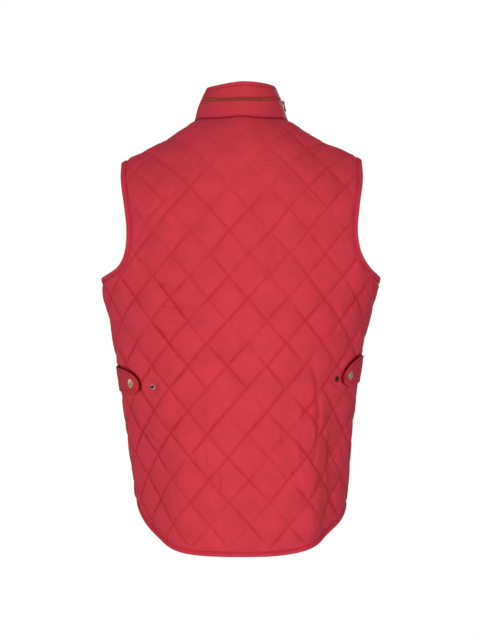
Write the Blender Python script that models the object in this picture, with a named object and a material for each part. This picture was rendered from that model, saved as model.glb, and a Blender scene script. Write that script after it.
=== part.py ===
"""A quilted gilet in the shape it has when worn: a hollow body of a back and two fronts, stitched in diamonds,
with a stand collar, bound armholes and hem, a front zip, a zip round the back of the collar and a press-stud tab
at each side of the waist.

Metres, +Z up. The front faces -Y and the wearer's left is +X. The origin is the middle of the neck, level with
the points where the shoulders meet the collar. Every piece of cloth is a wall round a middle surface, and what
lies on another piece is made from that piece's own points, moved out along its normal.
"""

import math

import bmesh
import bpy
import numpy as np
from mathutils import Matrix, Vector, geometry

MM = 0.001

# ---- The body, level by level ------------------------------------------------------------------------------
# Each row is one level of the body. Below the armholes a level is a flat ring; above them it bends down towards
# the arms by `slope`. `back` and `front` are how far the ring reaches behind and before the side seams, and
# `sway` is how far it hangs over to the wearer's left.
SECTION_COLUMNS = ("height", "half_width", "back", "front", "slope", "sway")
SECTIONS = (
    # name        height  half_width  back    front   slope   sway
    ("below_hem", -0.760,  0.1765,    0.179,  0.146,  0.000, -0.0005),
    ("tail",      -0.700,  0.1775,    0.176,  0.144,  0.000, -0.0005),
    ("seat",      -0.640,  0.1795,    0.172,  0.141,  0.000,  0.0000),
    ("hip",       -0.570,  0.1865,    0.166,  0.136,  0.000,  0.0020),
    ("high_hip",  -0.500,  0.1950,    0.160,  0.131,  0.000,  0.0040),
    ("waist",     -0.430,  0.2045,    0.155,  0.127,  0.000,  0.0045),
    ("ribs",      -0.350,  0.2185,    0.151,  0.127,  0.000,  0.0040),
    ("underarm",  -0.268,  0.2385,    0.145,  0.129,  0.000,  0.0010),
    ("blade",     -0.195,  0.2430,    0.139,  0.127,  0.110,  0.0000),
    ("armhole",   -0.125,  0.2435,    0.131,  0.116,  0.260,  0.0000),
    ("yoke",      -0.065,  0.2425,    0.116,  0.096,  0.390,  0.0000),
    ("high_yoke", -0.020,  0.2410,    0.093,  0.070,  0.485,  0.0000),
    ("roll",       0.015,  0.2395,    0.060,  0.043,  0.522,  0.0000),
    ("crest",      0.034,  0.2385,    0.026,  0.018,  0.532,  0.0000),
    ("shoulder",   0.0385, 0.2380,    0.000,  0.000,  0.534,  0.0000),
)
SHOULDER_ROUND = 0.020  # how softly the two shoulder slopes meet behind the neck
SHOULDER_TIP = 0.2055
SHOULDER_SAG = 0.0085  # how far each shoulder dips between the neck and its tip
SHOULDER_LEAN = 0.0105  # how much further the left shoulder has dropped by its tip

# Half the width across the armholes, level by level from the shoulder tip to the side seam, and how far both
# armholes stray to the right.
ARMHOLE_COLUMNS = ("height", "back", "front", "stray")
ARMHOLE = (
    # name        height  back     front   stray
    ("tip",       -0.0610, 0.2055, 0.2055, 0.0000),
    ("upper",     -0.0980, 0.2050, 0.1990, 0.0005),
    ("middle",    -0.1400, 0.1985, 0.1895, 0.0005),
    ("narrowest", -0.1840, 0.1935, 0.1850, 0.0010),
    ("turn",      -0.2220, 0.1980, 0.1925, 0.0025),
    ("scoop",     -0.2480, 0.2125, 0.2085, 0.0040),
    ("side",      -0.2655, 0.2380, 0.2380, 0.0000),
)

HEM_BACK = -0.7225  # lowest point of the back
HEM_FRONT = -0.7050
# By side: the top of the arch at the side seam, and how long the hem stays level before it rises to it.
HEM_SIDES = {1: (-0.6500, 5.0), -1: (-0.6560, 4.1)}
HEM_CORNER_START, HEM_CORNERS = math.radians(43), (0.0035, 0.0065)  # the rounded corners hang a little, left and right

# The neck seam is where a leaning column cuts the body.
NECK_HALF_WIDTH = 0.0810
NECK_BACK = 0.0695
NECK_FRONT = -0.1000
NECK_FLATNESS = 1.3  # above 1 the seam runs flatter behind

# ---- Cloth -------------------------------------------------------------------------------------------------
HALF_WALL = 0.9 * MM  # of the two fabrics and the wadding where they are stitched flat
SEAM_GAP = 0.3 * MM
PUFF = 3.6 * MM  # how far the wadding lifts the middle of a diamond
DIAMOND_WIDTH = 66.0 * MM
DIAMOND_HEIGHT = 74.8 * MM
DIAMOND_START = (-13.0 * MM, -0.3755)  # (across, height) of one crossing of the stitch lines on the back
OUTER_STEPS = 3  # points along each side of a diamond, on the quilted face
INNER_STEPS = 2  # and on the plain inside
EDGE_STEP = 12.5 * MM
BOUND_FLAT = 10.0 * MM  # flat margin under a binding
SEAM_FLAT = 2.0 * MM
PUFF_RISE = 17.0 * MM  # from a flat margin to full height

# Soft vertical folds of the body: `across` runs round the cloth from its centre line, +X to the wearer's left.
FOLD_COLUMNS = ("across", "top", "bottom", "width", "height")
BACK_FOLDS = (
    # name           across   top     bottom   width   height
    ("right_ridge",  -0.118, -0.400, -0.760,  0.030,   0.0060),
    ("right_hollow", -0.178, -0.420, -0.760,  0.032,  -0.0070),
    ("left_hollow",   0.168, -0.480, -0.760,  0.036,  -0.0050),
    ("left_ridge",    0.110, -0.500, -0.760,  0.034,   0.0030),
    ("right_blade",  -0.150, -0.120, -0.330,  0.040,  -0.0040),
    ("left_blade",    0.150, -0.130, -0.320,  0.040,  -0.0030),
)
FRONT_FOLDS = (
    # name           across   top     bottom   width   height
    ("left_ridge",    0.105, -0.360, -0.760,  0.036,   0.0045),
    ("left_hollow",   0.170, -0.400, -0.760,  0.036,  -0.0050),
    ("right_ridge",  -0.110, -0.380, -0.760,  0.036,   0.0045),
    ("right_hollow", -0.172, -0.410, -0.760,  0.036,  -0.0050),
)

# ---- Trim --------------------------------------------------------------------------------------------------
ARMHOLE_BINDING = 9.0 * MM
HEM_BINDING = 6.5 * MM
BINDING_CLOTH = 0.8 * MM

COLLAR_HALF_WALL = 1.4 * MM
COLLAR_START = 1.4 * MM  # from the neck seam to the collar's cloth
COLLAR_TOP_HALF_WIDTH = 0.0590
COLLAR_TOP_BACK = 0.0625
COLLAR_TOP_FRONT = -0.0850
COLLAR_TOP_HEIGHT = 0.0664
COLLAR_TOP_HEIGHT_FRONT = 0.0120
COLLAR_TOP_ARCH = 0.0026  # how much lower the top is at the sides than behind
COLLAR_TOP_SAG = 0.0028  # how far it sags on the left of the back
COLLAR_BOW = 1.5 * MM
COLLAR_BOW_LEFT = 2.0 * MM  # how much more it bows out on the left
COLLAR_STATIONS = 45

ZIP_HALF_GAP = 6.5 * MM  # from the centre front to the edge of each front and of the collar
ZIP_TAPE = 1.0 * MM
ZIP_TEETH_WIDTH = 5.0 * MM
ZIP_TEETH_THICK = 2.6 * MM
FRONT_ZIP_STATIONS = 34

COLLAR_ZIP_HEIGHT = 0.505  # share of the collar's height
COLLAR_ZIP_RISE = 0.14  # how much more of the height it has reached at the sides
COLLAR_ZIP_HALF_SLOT = 3.6 * MM
COLLAR_ZIP_DEPTH = 1.7 * MM
COLLAR_ZIP_ENDS = (math.radians(-100), math.radians(68))  # on the right and on the left of the centre back
COLLAR_ZIP_TAPE = 0.8 * MM
COLLAR_ZIP_TEETH = 1.9 * MM
COLLAR_ZIP_STATIONS = 30

# Each tab: the height of its middle at the side seam, how far it drops to its tip, how far its upper edge bulges
# (twice this), its length, how far from its tip its cap sits, and how far past its tip the bare stud.
TAB_COLUMNS = ("side", "height", "drop", "belly", "length", "cap_from_tip", "stud_past_tip")
TABS = (
    # name    side  height   drop    belly   length  cap_from_tip  stud_past_tip
    ("left",   1,  -0.4345,  0.0110, 0.0004, 0.1015, 0.0195,       0.0280),
    ("right", -1,  -0.4170,  0.0165, 0.0027, 0.0895, 0.0150,       0.0130),
)
TAB_HALF_WIDTH = 20.3 * MM
TAB_CLOTH = 2.0 * MM
TAB_RISE = PUFF + HALF_WALL + SEAM_GAP
SNAP_CAP_RADIUS = 7.5 * MM
STUD_RADIUS = 5.0 * MM
ROUND_SIDES = 16

RED = (0.52, 0.037, 0.058, 1.0)
RED_TRIM = (0.46, 0.030, 0.048, 1.0)
BRASS = (0.34, 0.24, 0.14, 1.0)


def columns(rows, names):
    """The table's numbers as {column name: array}."""
    numbers = np.array([row[1:] for row in rows], float)
    return {name: numbers[:, i] for i, name in enumerate(names)}


LEVELS = columns(SECTIONS, SECTION_COLUMNS)
TOP_LEVEL = len(SECTIONS) - 1
BLADE_LEVEL = [row[0] for row in SECTIONS].index("blade")
UNDERARM_LEVEL = [row[0] for row in SECTIONS].index("underarm")


def smooth(values, at):
    """Values, one at each whole number, joined by a smooth curve and read at `at`."""
    last = len(values) - 1
    at = np.clip(np.asarray(at, float), 0, last)
    low = np.minimum(at.astype(int), last - 1)
    share = at - low
    padded = np.concatenate([[2 * values[0] - values[1]], values, [2 * values[-1] - values[-2]]])
    before, start, end, after = (padded[low + i] for i in range(4))
    bend = 2 * before - 5 * start + 4 * end - after
    twist = 3 * (start - end) + after - before
    return start + 0.5 * share * (end - before + share * (bend + share * twist))


def ease(low, high, value):
    """0 below low and 1 above high, with a soft rise between."""
    share = np.clip((value - low) / (high - low), 0, 1)
    return share * share * (3 - 2 * share)


def unit(vectors):
    return vectors / np.linalg.norm(vectors, axis=-1, keepdims=True)


def along(points):
    """How far each point lies along the line through all of them."""
    steps = np.linalg.norm(np.diff(points, axis=0), axis=1)
    return np.concatenate([[0], np.cumsum(steps)])


def resample(points, step):
    """The same line with its points evenly about `step` apart, and its two ends kept."""
    points = np.asarray(points, float)
    gone = along(points)
    count = max(2, round(gone[-1] / step) + 1)
    wanted = np.linspace(0, gone[-1], count)
    return np.stack([np.interp(wanted, gone, points[:, i]) for i in range(points.shape[1])], axis=1)


def shoulder_drop(x):
    """How far the shoulders have fallen at a distance x from the middle, for a slope of 1."""
    along_shoulder = np.clip((np.abs(x) - NECK_HALF_WIDTH) / (SHOULDER_TIP - NECK_HALF_WIDTH), 0, 1)
    sag = SHOULDER_SAG * np.sin(math.pi * along_shoulder**0.75) ** 2
    lean = SHOULDER_LEAN * np.sin(math.pi / 2 * along_shoulder) * (x > 0)
    return np.sqrt(x * x + SHOULDER_ROUND**2) - SHOULDER_ROUND + sag + lean


# ---- The two halves of the body ----------------------------------------------------------------------------
class Half:
    """The back or the front half of the body, from side seam to side seam.

    A place on it is (across, up): lengths on the flat cloth, across from the centre line and up from the waist.
    A turn is the angle round a level from the centre line, and a level is a row of SECTIONS or between two.
    The quilting has a pair of lengths of its own, because its lines were stitched before the shoulders were cut:
    they stay straight where the levels bend down towards the arms.
    """

    def __init__(self, depth_column, facing, folds):
        self.depth_column = depth_column
        self.facing = facing
        self.folds = [dict(zip(("name",) + FOLD_COLUMNS, row)) for row in folds]
        self.turns = np.linspace(-math.pi / 2, math.pi / 2, 181)
        self.levels = np.linspace(0, TOP_LEVEL, 281)
        grid = self.middle(self.turns[None, :], self.levels[:, None])
        steps = np.linalg.norm(np.diff(grid, axis=1), axis=2)
        centre = len(self.turns) // 2
        gone = np.concatenate([np.zeros((len(self.levels), 1)), np.cumsum(steps, axis=1)], axis=1)
        self.across_of_turn = gone - gone[:, [centre]]
        profile = self.middle(np.full(len(self.levels), math.radians(25)), self.levels)
        up = along(profile)
        self.up_of_level = up - np.interp(0, self.heights(0.0) - LEVELS["height"][5], up)
        self.quilt_tables(grid)

    def quilt_tables(self, grid):
        """The quilting's own two lengths at each turn of each level."""
        steps = np.linalg.norm(np.diff(grid[..., :2], axis=1), axis=2)
        gone = np.concatenate([np.zeros((len(self.levels), 1)), np.cumsum(steps, axis=1)], axis=1)
        self.quilt_across = gone - gone[:, [len(self.turns) // 2]]
        widths, depths = smooth(LEVELS["half_width"], self.levels), smooth(LEVELS[self.depth_column], self.levels)
        slices = np.linspace(0, 0.999 * widths[self.levels >= UNDERARM_LEVEL].min(), 60)
        y = depths[:, None] * np.sqrt(np.clip(1 - (slices / widths[:, None]) ** 2, 0, 1))
        z = self.heights(slices[:, None]).T
        rise = np.hypot(np.diff(y, axis=0), np.diff(z, axis=0))
        rise[self.levels[1:] <= UNDERARM_LEVEL] = 0
        risen = np.concatenate([np.zeros((1, len(slices))), np.cumsum(rise, axis=0)])
        to_underarm = np.interp(np.minimum(self.levels, UNDERARM_LEVEL), self.levels, self.up_of_level)
        from_middle = np.abs(widths[:, None] * np.sin(self.turns))
        above = np.array([np.interp(x, slices, row) for x, row in zip(from_middle, risen)])
        self.quilt_up = to_underarm[:, None] + above

    def heights(self, x):
        """The height of each of self.levels at a distance x from the middle."""
        return smooth(LEVELS["height"], self.levels) - smooth(LEVELS["slope"], self.levels) * shoulder_drop(x)

    def middle(self, turn, level):
        """The point of the middle surface at a turn and a level."""
        width, depth = smooth(LEVELS["half_width"], level), smooth(LEVELS[self.depth_column], level)
        x = width * np.sin(turn)
        y = self.facing * depth * np.cos(turn)
        z = smooth(LEVELS["height"], level) - smooth(LEVELS["slope"], level) * shoulder_drop(x)
        return np.stack(np.broadcast_arrays(x + smooth(LEVELS["sway"], level), y, z), axis=-1)

    def normal(self, turn, level):
        nudge = 1e-4
        level = np.clip(level, nudge, TOP_LEVEL)
        right = self.middle(turn + nudge, level) - self.middle(turn - nudge, level)
        rise = self.middle(turn, level) - self.middle(turn, level - nudge)
        out = self.facing * np.cross(rise, right)
        out[..., 1] *= np.clip((TOP_LEVEL - level) / 0.2, 0, 1)  # both halves share the normal at the shoulder seam
        return unit(out)

    def spot(self, places):
        """(turn, level) of each (across, up)."""
        places = np.asarray(places, float)
        rows = np.interp(places[:, 1], self.up_of_level, np.arange(len(self.levels)))
        low = np.minimum(rows.astype(int), len(self.levels) - 2)
        share = (rows - low)[:, None]
        widths = self.across_of_turn[low] * (1 - share) + self.across_of_turn[low + 1] * share
        turns = np.array([np.interp(p, w, self.turns) for p, w in zip(places[:, 0], widths)])
        return turns, np.interp(rows, np.arange(len(self.levels)), self.levels)

    def place(self, turns, levels):
        """(across, up) of each turn and level."""
        rows = np.interp(levels, self.levels, np.arange(len(self.levels)))
        low = np.minimum(rows.astype(int), len(self.levels) - 2)
        share = (rows - low)[:, None]
        widths = self.across_of_turn[low] * (1 - share) + self.across_of_turn[low + 1] * share
        across = np.array([np.interp(t, self.turns, w) for t, w in zip(turns, widths)])
        return np.stack([across, np.interp(levels, self.levels, self.up_of_level)], axis=1)

    def quilt_lengths(self, places):
        """The quilting's own (across, up) at each place."""
        turns, levels = self.spot(places)
        row = np.interp(levels, self.levels, np.arange(len(self.levels)))
        column = np.interp(turns, self.turns, np.arange(len(self.turns)))
        low_row = np.minimum(row.astype(int), len(self.levels) - 2)
        low_column = np.minimum(column.astype(int), len(self.turns) - 2)
        up_share, turn_share = row - low_row, column - low_column
        lengths = []
        for table in (self.quilt_across, self.quilt_up):
            below = table[low_row, low_column] * (1 - turn_share) + table[low_row, low_column + 1] * turn_share
            above = table[low_row + 1, low_column] * (1 - turn_share) + table[low_row + 1, low_column + 1] * turn_share
            lengths.append(below * (1 - up_share) + above * up_share)
        return np.stack(lengths, axis=1)

    def quilt_places(self, lengths):
        """The places that have these lengths of the quilting, and whether each was found on this half."""
        places = np.array(lengths, float)
        for _ in range(40):
            missed = lengths - self.quilt_lengths(places)
            places = places + 0.7 * missed
        return places, np.linalg.norm(missed, axis=1) < 0.3 * MM

    def fold_height(self, across, height):
        """How far the body's soft folds lift the cloth."""
        lift = np.zeros(len(across))
        for fold in self.folds:
            crest = np.exp(-(((across - fold["across"]) / fold["width"]) ** 2))
            ends = ease(fold["top"] + 0.02, fold["top"] - 0.14, height)
            if fold["bottom"] > HEM_BACK:
                ends = ends * ease(fold["bottom"] - 0.02, fold["bottom"] + 0.10, height)
            lift += fold["height"] * crest * ends
        return lift

    def points(self, places, lift):
        """The points at these places, moved out by `lift`."""
        turns, levels = self.spot(places)
        middle, out = self.middle(turns, levels), self.normal(turns, levels)
        to_seam = np.clip((math.pi / 2 - np.abs(turns)) / math.radians(16), 0, 1)
        folded = self.fold_height(np.asarray(places)[:, 0], middle[:, 2]) * to_seam
        return middle + out * (folded + lift)[:, None], out

    def place_at(self, x, z):
        """(across, up) of the cloth at a distance x from the middle and a height z, seen from straight behind or before."""
        found = []
        for one_x, one_z in zip(x, z):
            level = np.interp(one_z, self.heights(one_x), self.levels)
            width, sway = smooth(LEVELS["half_width"], level), smooth(LEVELS["sway"], level)
            found.append((math.asin(np.clip((one_x - sway) / width, -1, 1)), float(level)))
        turns, levels = np.array(found).T
        return self.place(turns, levels)

    def place_on_neck(self, turn):
        """(across, up) where the column of the neck cuts this half, at a turn round the column from the centre back."""
        x, y = neck_column(turn)
        levels = self.levels[self.levels >= BLADE_LEVEL]
        width, depth = smooth(LEVELS["half_width"], levels), smooth(LEVELS[self.depth_column], levels)
        found = []
        for one_x, one_y in zip(x, y):
            reach = depth * np.sqrt(1 - (one_x / width) ** 2)
            level = np.interp(-abs(one_y), -reach, levels)
            found.append((math.asin(one_x / smooth(LEVELS["half_width"], level)), level))
        turns, levels = np.array(found).T
        return self.place(turns, levels)


def neck_column(turn):
    """(x, y) round the column of the neck: turn 0 is the centre back, and a turn grows towards +X."""
    middle, reach = (NECK_BACK + NECK_FRONT) / 2, (NECK_BACK - NECK_FRONT) / 2
    behind = np.maximum(np.cos(turn), 0) ** NECK_FLATNESS
    return NECK_HALF_WIDTH * np.sin(turn), middle + reach * (behind + np.minimum(np.cos(turn), 0))


SIDE_NECK_TURN = math.acos((-(NECK_BACK + NECK_FRONT) / (NECK_BACK - NECK_FRONT)) ** (1 / NECK_FLATNESS))
BACK = Half("back", +1, BACK_FOLDS)
FRONT = Half("front", -1, FRONT_FOLDS)


def hem_height(turn, lowest):
    top, arch = (np.where(turn > 0, left, right) for left, right in zip(HEM_SIDES[1], HEM_SIDES[-1]))
    along_corner = np.clip((np.abs(turn) - HEM_CORNER_START) / (math.pi / 2 - HEM_CORNER_START), 0, 1)
    corner = np.where(turn > 0, *HEM_CORNERS) * np.sin(math.pi * along_corner) ** 2
    return lowest + (top - lowest) * np.abs(np.sin(turn)) ** arch - corner


# ---- The outlines of the panels, on the flat cloth ---------------------------------------------------------
def hem_run(half, lowest, turns):
    levels = np.interp(hem_height(turns, lowest), half.heights(0.0), half.levels)
    return half.place(turns, levels)


def side_run(half, side):
    """Up the side seam, from the hem to the armhole."""
    bottom = np.interp(HEM_SIDES[side][0], half.heights(0.0), half.levels)
    top = np.interp(ARMHOLE[-1][1], half.heights(0.0), half.levels)
    levels = np.linspace(bottom, top, 60)
    return half.place(np.full(60, side * math.pi / 2), levels)


def armhole_run(half, side):
    """Up the armhole, from the side seam to the shoulder tip."""
    shape = columns(ARMHOLE, ARMHOLE_COLUMNS)
    rows = np.linspace(len(ARMHOLE) - 1, 0, 90)
    x, z = smooth(shape[half.depth_column], rows), smooth(shape["height"], rows)
    lowered = LEVELS["slope"][-1] * (shoulder_drop(side * SHOULDER_TIP) - shoulder_drop(-SHOULDER_TIP))
    z = z - lowered * ease(-0.14, ARMHOLE[0][1], z)
    places = half.place_at(side * x - smooth(shape["stray"], rows), z)
    places[0] = side_run(half, side)[-1]
    places[-1] = shoulder_run(half, side)[0]
    return places


def shoulder_run(half, side):
    """Along the shoulder seam, from the tip to the neck."""
    x = np.linspace(SHOULDER_TIP, NECK_HALF_WIDTH * math.sin(SIDE_NECK_TURN), 30)
    turns = side * np.arcsin(x / LEVELS["half_width"][-1])
    return half.place(turns, np.full(30, float(TOP_LEVEL)))


def neck_run(half, first, last):
    places = half.place_on_neck(np.linspace(first, last, 80))
    return places


def pulled_in(places, away):
    """A closed outline moved in by `away` at each point."""
    before, after = np.roll(places, 1, axis=0), np.roll(places, -1, axis=0)
    inward = unit(unit(after - places)[:, ::-1] * [-1, 1] + unit(places - before)[:, ::-1] * [-1, 1])
    return places + inward * away


def inward_of(run):
    """The direction into the cloth at each point of a run that has the cloth on its left."""
    ahead = np.gradient(run, axis=0)
    return unit(ahead[:, ::-1] * [-1, 1])


def with_start(run, margin):
    """A seam run resampled so that a point lies exactly `margin` from each end."""
    gone = along(run)
    inner = np.linspace(margin, gone[-1] - margin, max(2, round((gone[-1] - 2 * margin) / EDGE_STEP) + 1))
    wanted = np.concatenate([[0], inner, [gone[-1]]])
    return np.stack([np.interp(wanted, gone, run[:, i]) for i in range(2)], axis=1)


class Run:
    """One edge of a panel, anticlockwise on the flat cloth. A bound edge has a flat margin for its binding."""

    def __init__(self, places, bound):
        self.bound = bound
        self.places = resample(places, EDGE_STEP) if bound else with_start(places, BOUND_FLAT)


def outline_of(runs):
    return np.concatenate([run.places[:-1] for run in runs])


def back_runs():
    """The back's edges, anticlockwise as seen on the flat cloth with +across to the right."""
    quarter = math.pi / 2
    return {
        "hem": Run(hem_run(BACK, HEM_BACK, np.linspace(-quarter, quarter, 200)), True),
        "side_left": Run(side_run(BACK, 1), False),
        "armhole_left": Run(armhole_run(BACK, 1), True),
        "shoulder_left": Run(shoulder_run(BACK, 1), False),
        "neck": Run(neck_run(BACK, SIDE_NECK_TURN, -SIDE_NECK_TURN), True),
        "shoulder_right": Run(shoulder_run(BACK, -1)[::-1], False),
        "armhole_right": Run(armhole_run(BACK, -1)[::-1], True),
        "side_right": Run(side_run(BACK, -1)[::-1], False),
    }


def front_runs(side):
    """The edges of the left (+1) or the right (-1) front."""
    edge_turn = math.asin(ZIP_HALF_GAP / LEVELS["half_width"][1])
    hem = hem_run(FRONT, HEM_FRONT, side * np.linspace(edge_turn, math.pi / 2, 110))
    neck_edge = math.pi - math.asin(ZIP_HALF_GAP / NECK_HALF_WIDTH)
    neck = neck_run(FRONT, side * SIDE_NECK_TURN, side * neck_edge)
    runs = {
        "hem": (hem, True),
        "side": (side_run(FRONT, side), False),
        "armhole": (armhole_run(FRONT, side), True),
        "shoulder": (shoulder_run(FRONT, side), False),
        "neck": (neck, True),
        "centre": (np.linspace(neck[-1], hem[0], 60), False),
    }
    if side > 0:
        return {name: Run(places, bound) for name, (places, bound) in runs.items()}
    return {name: Run(places[::-1], bound) for name, (places, bound) in reversed(list(runs.items()))}


# ---- Quilting ----------------------------------------------------------------------------------------------
def lattice_start(half):
    across, height = DIAMOND_START
    return across, np.interp(height, half.heights(0.0), half.up_of_level)


def diamond_shares(half, places):
    """Where each place lies between the stitch lines of both directions: whole numbers are on a line."""
    across, up = lattice_start(half)
    lengths = half.quilt_lengths(places)
    wide = (lengths[:, 0] - across) / DIAMOND_WIDTH
    high = (lengths[:, 1] - up) / DIAMOND_HEIGHT
    return wide + high, wide - high


def puff_height(half, places):
    rising, falling = diamond_shares(half, places)
    domed = np.abs(np.sin(math.pi * rising) * np.sin(math.pi * falling))
    return PUFF * domed**0.6


def lattice_points(half, steps, low, high):
    """The crossings of the stitch lines, and `steps` points from one to the next, inside a box of places."""
    across, up = lattice_start(half)
    reach = int(2 * steps * (high - low).max() / DIAMOND_WIDTH) + 2
    rising, falling = np.meshgrid(np.arange(-reach, reach) / steps, np.arange(-reach, reach) / steps)
    wide, tall = (rising + falling) / 2, (rising - falling) / 2
    lengths = np.stack([across + wide.ravel() * DIAMOND_WIDTH, up + tall.ravel() * DIAMOND_HEIGHT], axis=1)
    lengths = lengths[((lengths > low - DIAMOND_HEIGHT) & (lengths < high + DIAMOND_HEIGHT)).all(axis=1)]
    places, found = half.quilt_places(lengths)
    return places[found & ((places > low) & (places < high)).all(axis=1)]


def distance_to(line, places):
    """The distance from each place to a line of straight pieces."""
    start, step = line[:-1], np.diff(line, axis=0)
    away = places[:, None, :] - start[None]
    share = np.clip((away * step).sum(2) / (step * step).sum(1), 0, 1)
    return np.linalg.norm(away - share[..., None] * step, axis=2).min(axis=1)


def inside(outline, places):
    """Which places lie inside a closed outline."""
    x, y = places[:, 0][:, None], places[:, 1][:, None]
    ax, ay = outline.T
    bx, by = np.roll(outline, -1, axis=0).T
    crosses = (ay > y) != (by > y)
    with np.errstate(divide="ignore", invalid="ignore"):
        left = x < (bx - ax) * (y - ay) / (by - ay) + ax
    return (crosses & left).sum(axis=1) % 2 == 1


def triangulated(outline, lines, loose, clearance):
    """Triangles over an outline, along the lines, and through the loose places that keep clear of both.

    Each line is (place in the outline before it, its own places, place in the outline after it), and a line
    with None at its ends is a closed one.
    """
    closed = np.concatenate([outline, outline[:1]])
    kept = loose[inside(outline, loose)]
    kept = kept[distance_to(closed, kept) > clearance]
    places, count = [outline], len(outline)
    edges, first = [(i, (i + 1) % count) for i in range(count)], count
    for before, line, after in lines:
        kept = kept[distance_to(line, kept) > clearance]
        own = list(range(first, first + len(line)))
        chain = own + own[:1] if before is None else [before] + own + [after]
        edges += list(zip(chain[:-1], chain[1:]))
        places.append(line)
        first += len(line)
    places = np.concatenate(places + [kept])
    found = geometry.delaunay_2d_cdt([Vector(place) for place in places], edges, [], 1, 1e-7)
    order = [min(source) for source in found[3]]
    return places, [tuple(order[corner] for corner in face) for face in found[2]]


def add_object(name, vertices, faces, colour, roughness, metallic=0.0, smooth_angle=50):
    """One named object with its own material, closed and with its faces outwards."""
    mesh = bpy.data.meshes.new(name)
    mesh.from_pydata([tuple(map(float, v)) for v in vertices], [], faces)
    shaped = bmesh.new()
    shaped.from_mesh(mesh)
    bmesh.ops.recalc_face_normals(shaped, faces=shaped.faces)
    shaped.to_mesh(mesh)
    shaped.free()
    mesh.shade_smooth()
    mesh.set_sharp_from_angle(angle=math.radians(smooth_angle))
    material = bpy.data.materials.new(name)
    material.use_nodes = True
    shader = material.node_tree.nodes["Principled BSDF"]
    shader.inputs["Base Color"].default_value = colour
    shader.inputs["Roughness"].default_value = roughness
    shader.inputs["Metallic"].default_value = metallic
    mesh.materials.append(material)
    piece = bpy.data.objects.new(name, mesh)
    bpy.context.scene.collection.objects.link(piece)
    return piece


def flat_margins(runs, outline):
    """The inner edge of each bound run's flat margin, tied to the outline at both ends."""
    margins, first = [], 0
    for run in runs.values():
        last = first + len(run.places) - 1
        if run.bound:
            line = (run.places + inward_of(run.places) * BOUND_FLAT)[1:-1]
            margins.append(((first - 1) % len(outline), line, (last + 1) % len(outline)))
        first = last
    return margins


def spot_ring(centre, radius, corners=8):
    angles = 2 * math.pi * (np.arange(corners) + 0.5) / corners
    return centre + radius * np.stack([np.cos(angles), np.sin(angles)], axis=1)


def quilted_panel(name, half, runs, flat_spots=()):
    """A wall cut to its edges, with the diamonds raised on its outer face and a plain inside."""
    outline = pulled_in(outline_of(runs.values()), 0.7 * SEAM_GAP)
    margins = flat_margins(runs, outline)
    rings = [(None, spot_ring(centre, radius), None) for centre, radius in flat_spots]
    low, high = outline.min(axis=0), outline.max(axis=0)
    fine = lattice_points(half, OUTER_STEPS, low, high)
    coarse = lattice_points(half, INNER_STEPS, low, high)
    for run in runs.values():
        if run.bound:
            fine = fine[distance_to(run.places, fine) > BOUND_FLAT]
            coarse = coarse[distance_to(run.places, coarse) > BOUND_FLAT]
    for centre, radius in flat_spots:
        fine = fine[np.linalg.norm(fine - centre, axis=1) > radius]
    outer_places, outer_faces = triangulated(outline, margins + rings, fine, 0.5 * EDGE_STEP)
    inner_places, inner_faces = triangulated(outline, margins, coarse, 0.8 * EDGE_STEP)

    puff = puff_height(half, outer_places)
    for run in runs.values():
        flat = BOUND_FLAT if run.bound else SEAM_FLAT
        puff = puff * ease(flat, flat + PUFF_RISE, distance_to(run.places, outer_places))
    for centre, radius in flat_spots:
        away = np.linalg.norm(outer_places - centre, axis=1)
        puff = puff * ease(radius + 0.1 * MM, radius + PUFF_RISE, away)
    outer, _ = half.points(outer_places, HALF_WALL + puff)
    inner, _ = half.points(inner_places, np.full(len(inner_places), -HALF_WALL))

    count, first_inner = len(outline), len(outer)
    faces = list(outer_faces) + [tuple(first_inner + i for i in reversed(face)) for face in inner_faces]
    for i in range(count):
        after = (i + 1) % count
        faces.append((i, first_inner + i, first_inner + after, after))
    return add_object(name, np.concatenate([outer, inner]), faces, RED, 0.62)


# ---- Bindings ----------------------------------------------------------------------------------------------
def binding_section(width):
    """The folded tape seen end on, as (in from the edge, out from the middle surface)."""
    inside_face = HALF_WALL + SEAM_GAP
    outside_face = inside_face + BINDING_CLOTH
    fold = -SEAM_GAP - BINDING_CLOTH
    return (
        (width, outside_face),
        (0.0, outside_face),
        (fold, 0.5 * outside_face),
        (fold, -0.5 * outside_face),
        (0.0, -outside_face),
        (width, -outside_face),
        (width, -inside_face),
        (-SEAM_GAP, -inside_face),
        (-SEAM_GAP, inside_face),
        (width, inside_face),
    )


def edge_stations(half, run, start_inward=None, end_inward=None):
    """(half, place, inward) at each point of a run, with the inward direction at its ends given where a seam sets it."""
    directions = inward_of(run.places)
    if start_inward is not None:
        directions[0] = start_inward
    if end_inward is not None:
        directions[-1] = end_inward
    return [(half, place, inward) for place, inward in zip(run.places, directions)]


def binding_ring(station, section):
    """The tape's section at one station, as points."""
    half, place, inward = station
    edge, out = half.points([place], np.zeros(1))
    inner, _ = half.points([place + inward * ARMHOLE_BINDING], np.zeros(1))
    beyond = unit(edge - inner)
    ring = []
    for inset, lift in section:
        if inset > 0:
            point, _ = half.points([place + inward * inset], np.array([lift]))
        else:
            point = edge - beyond * inset + out * lift
        ring.append(point[0])
    return ring


def swept(name, rings, closed, colour, roughness, metallic=0.0):
    """A tube through rings of equal length, joined end to start or capped at both ends."""
    count, size = len(rings), len(rings[0])
    vertices = [point for ring in rings for point in ring]
    faces = []
    for i in range(count if closed else count - 1):
        after = (i + 1) % count
        for j in range(size):
            beside = (j + 1) % size
            faces.append((i * size + j, after * size + j, after * size + beside, i * size + beside))
    if not closed:
        faces.append(tuple(range(size)))
        faces.append(tuple(reversed(range((count - 1) * size, count * size))))
    return add_object(name, vertices, faces, colour, roughness, metallic)


def seam_direction(run, from_start):
    """The direction along a seam run, away from its start or from its end."""
    places = run.places
    return unit(places[1] - places[0]) if from_start else unit(places[-2] - places[-1])


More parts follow.
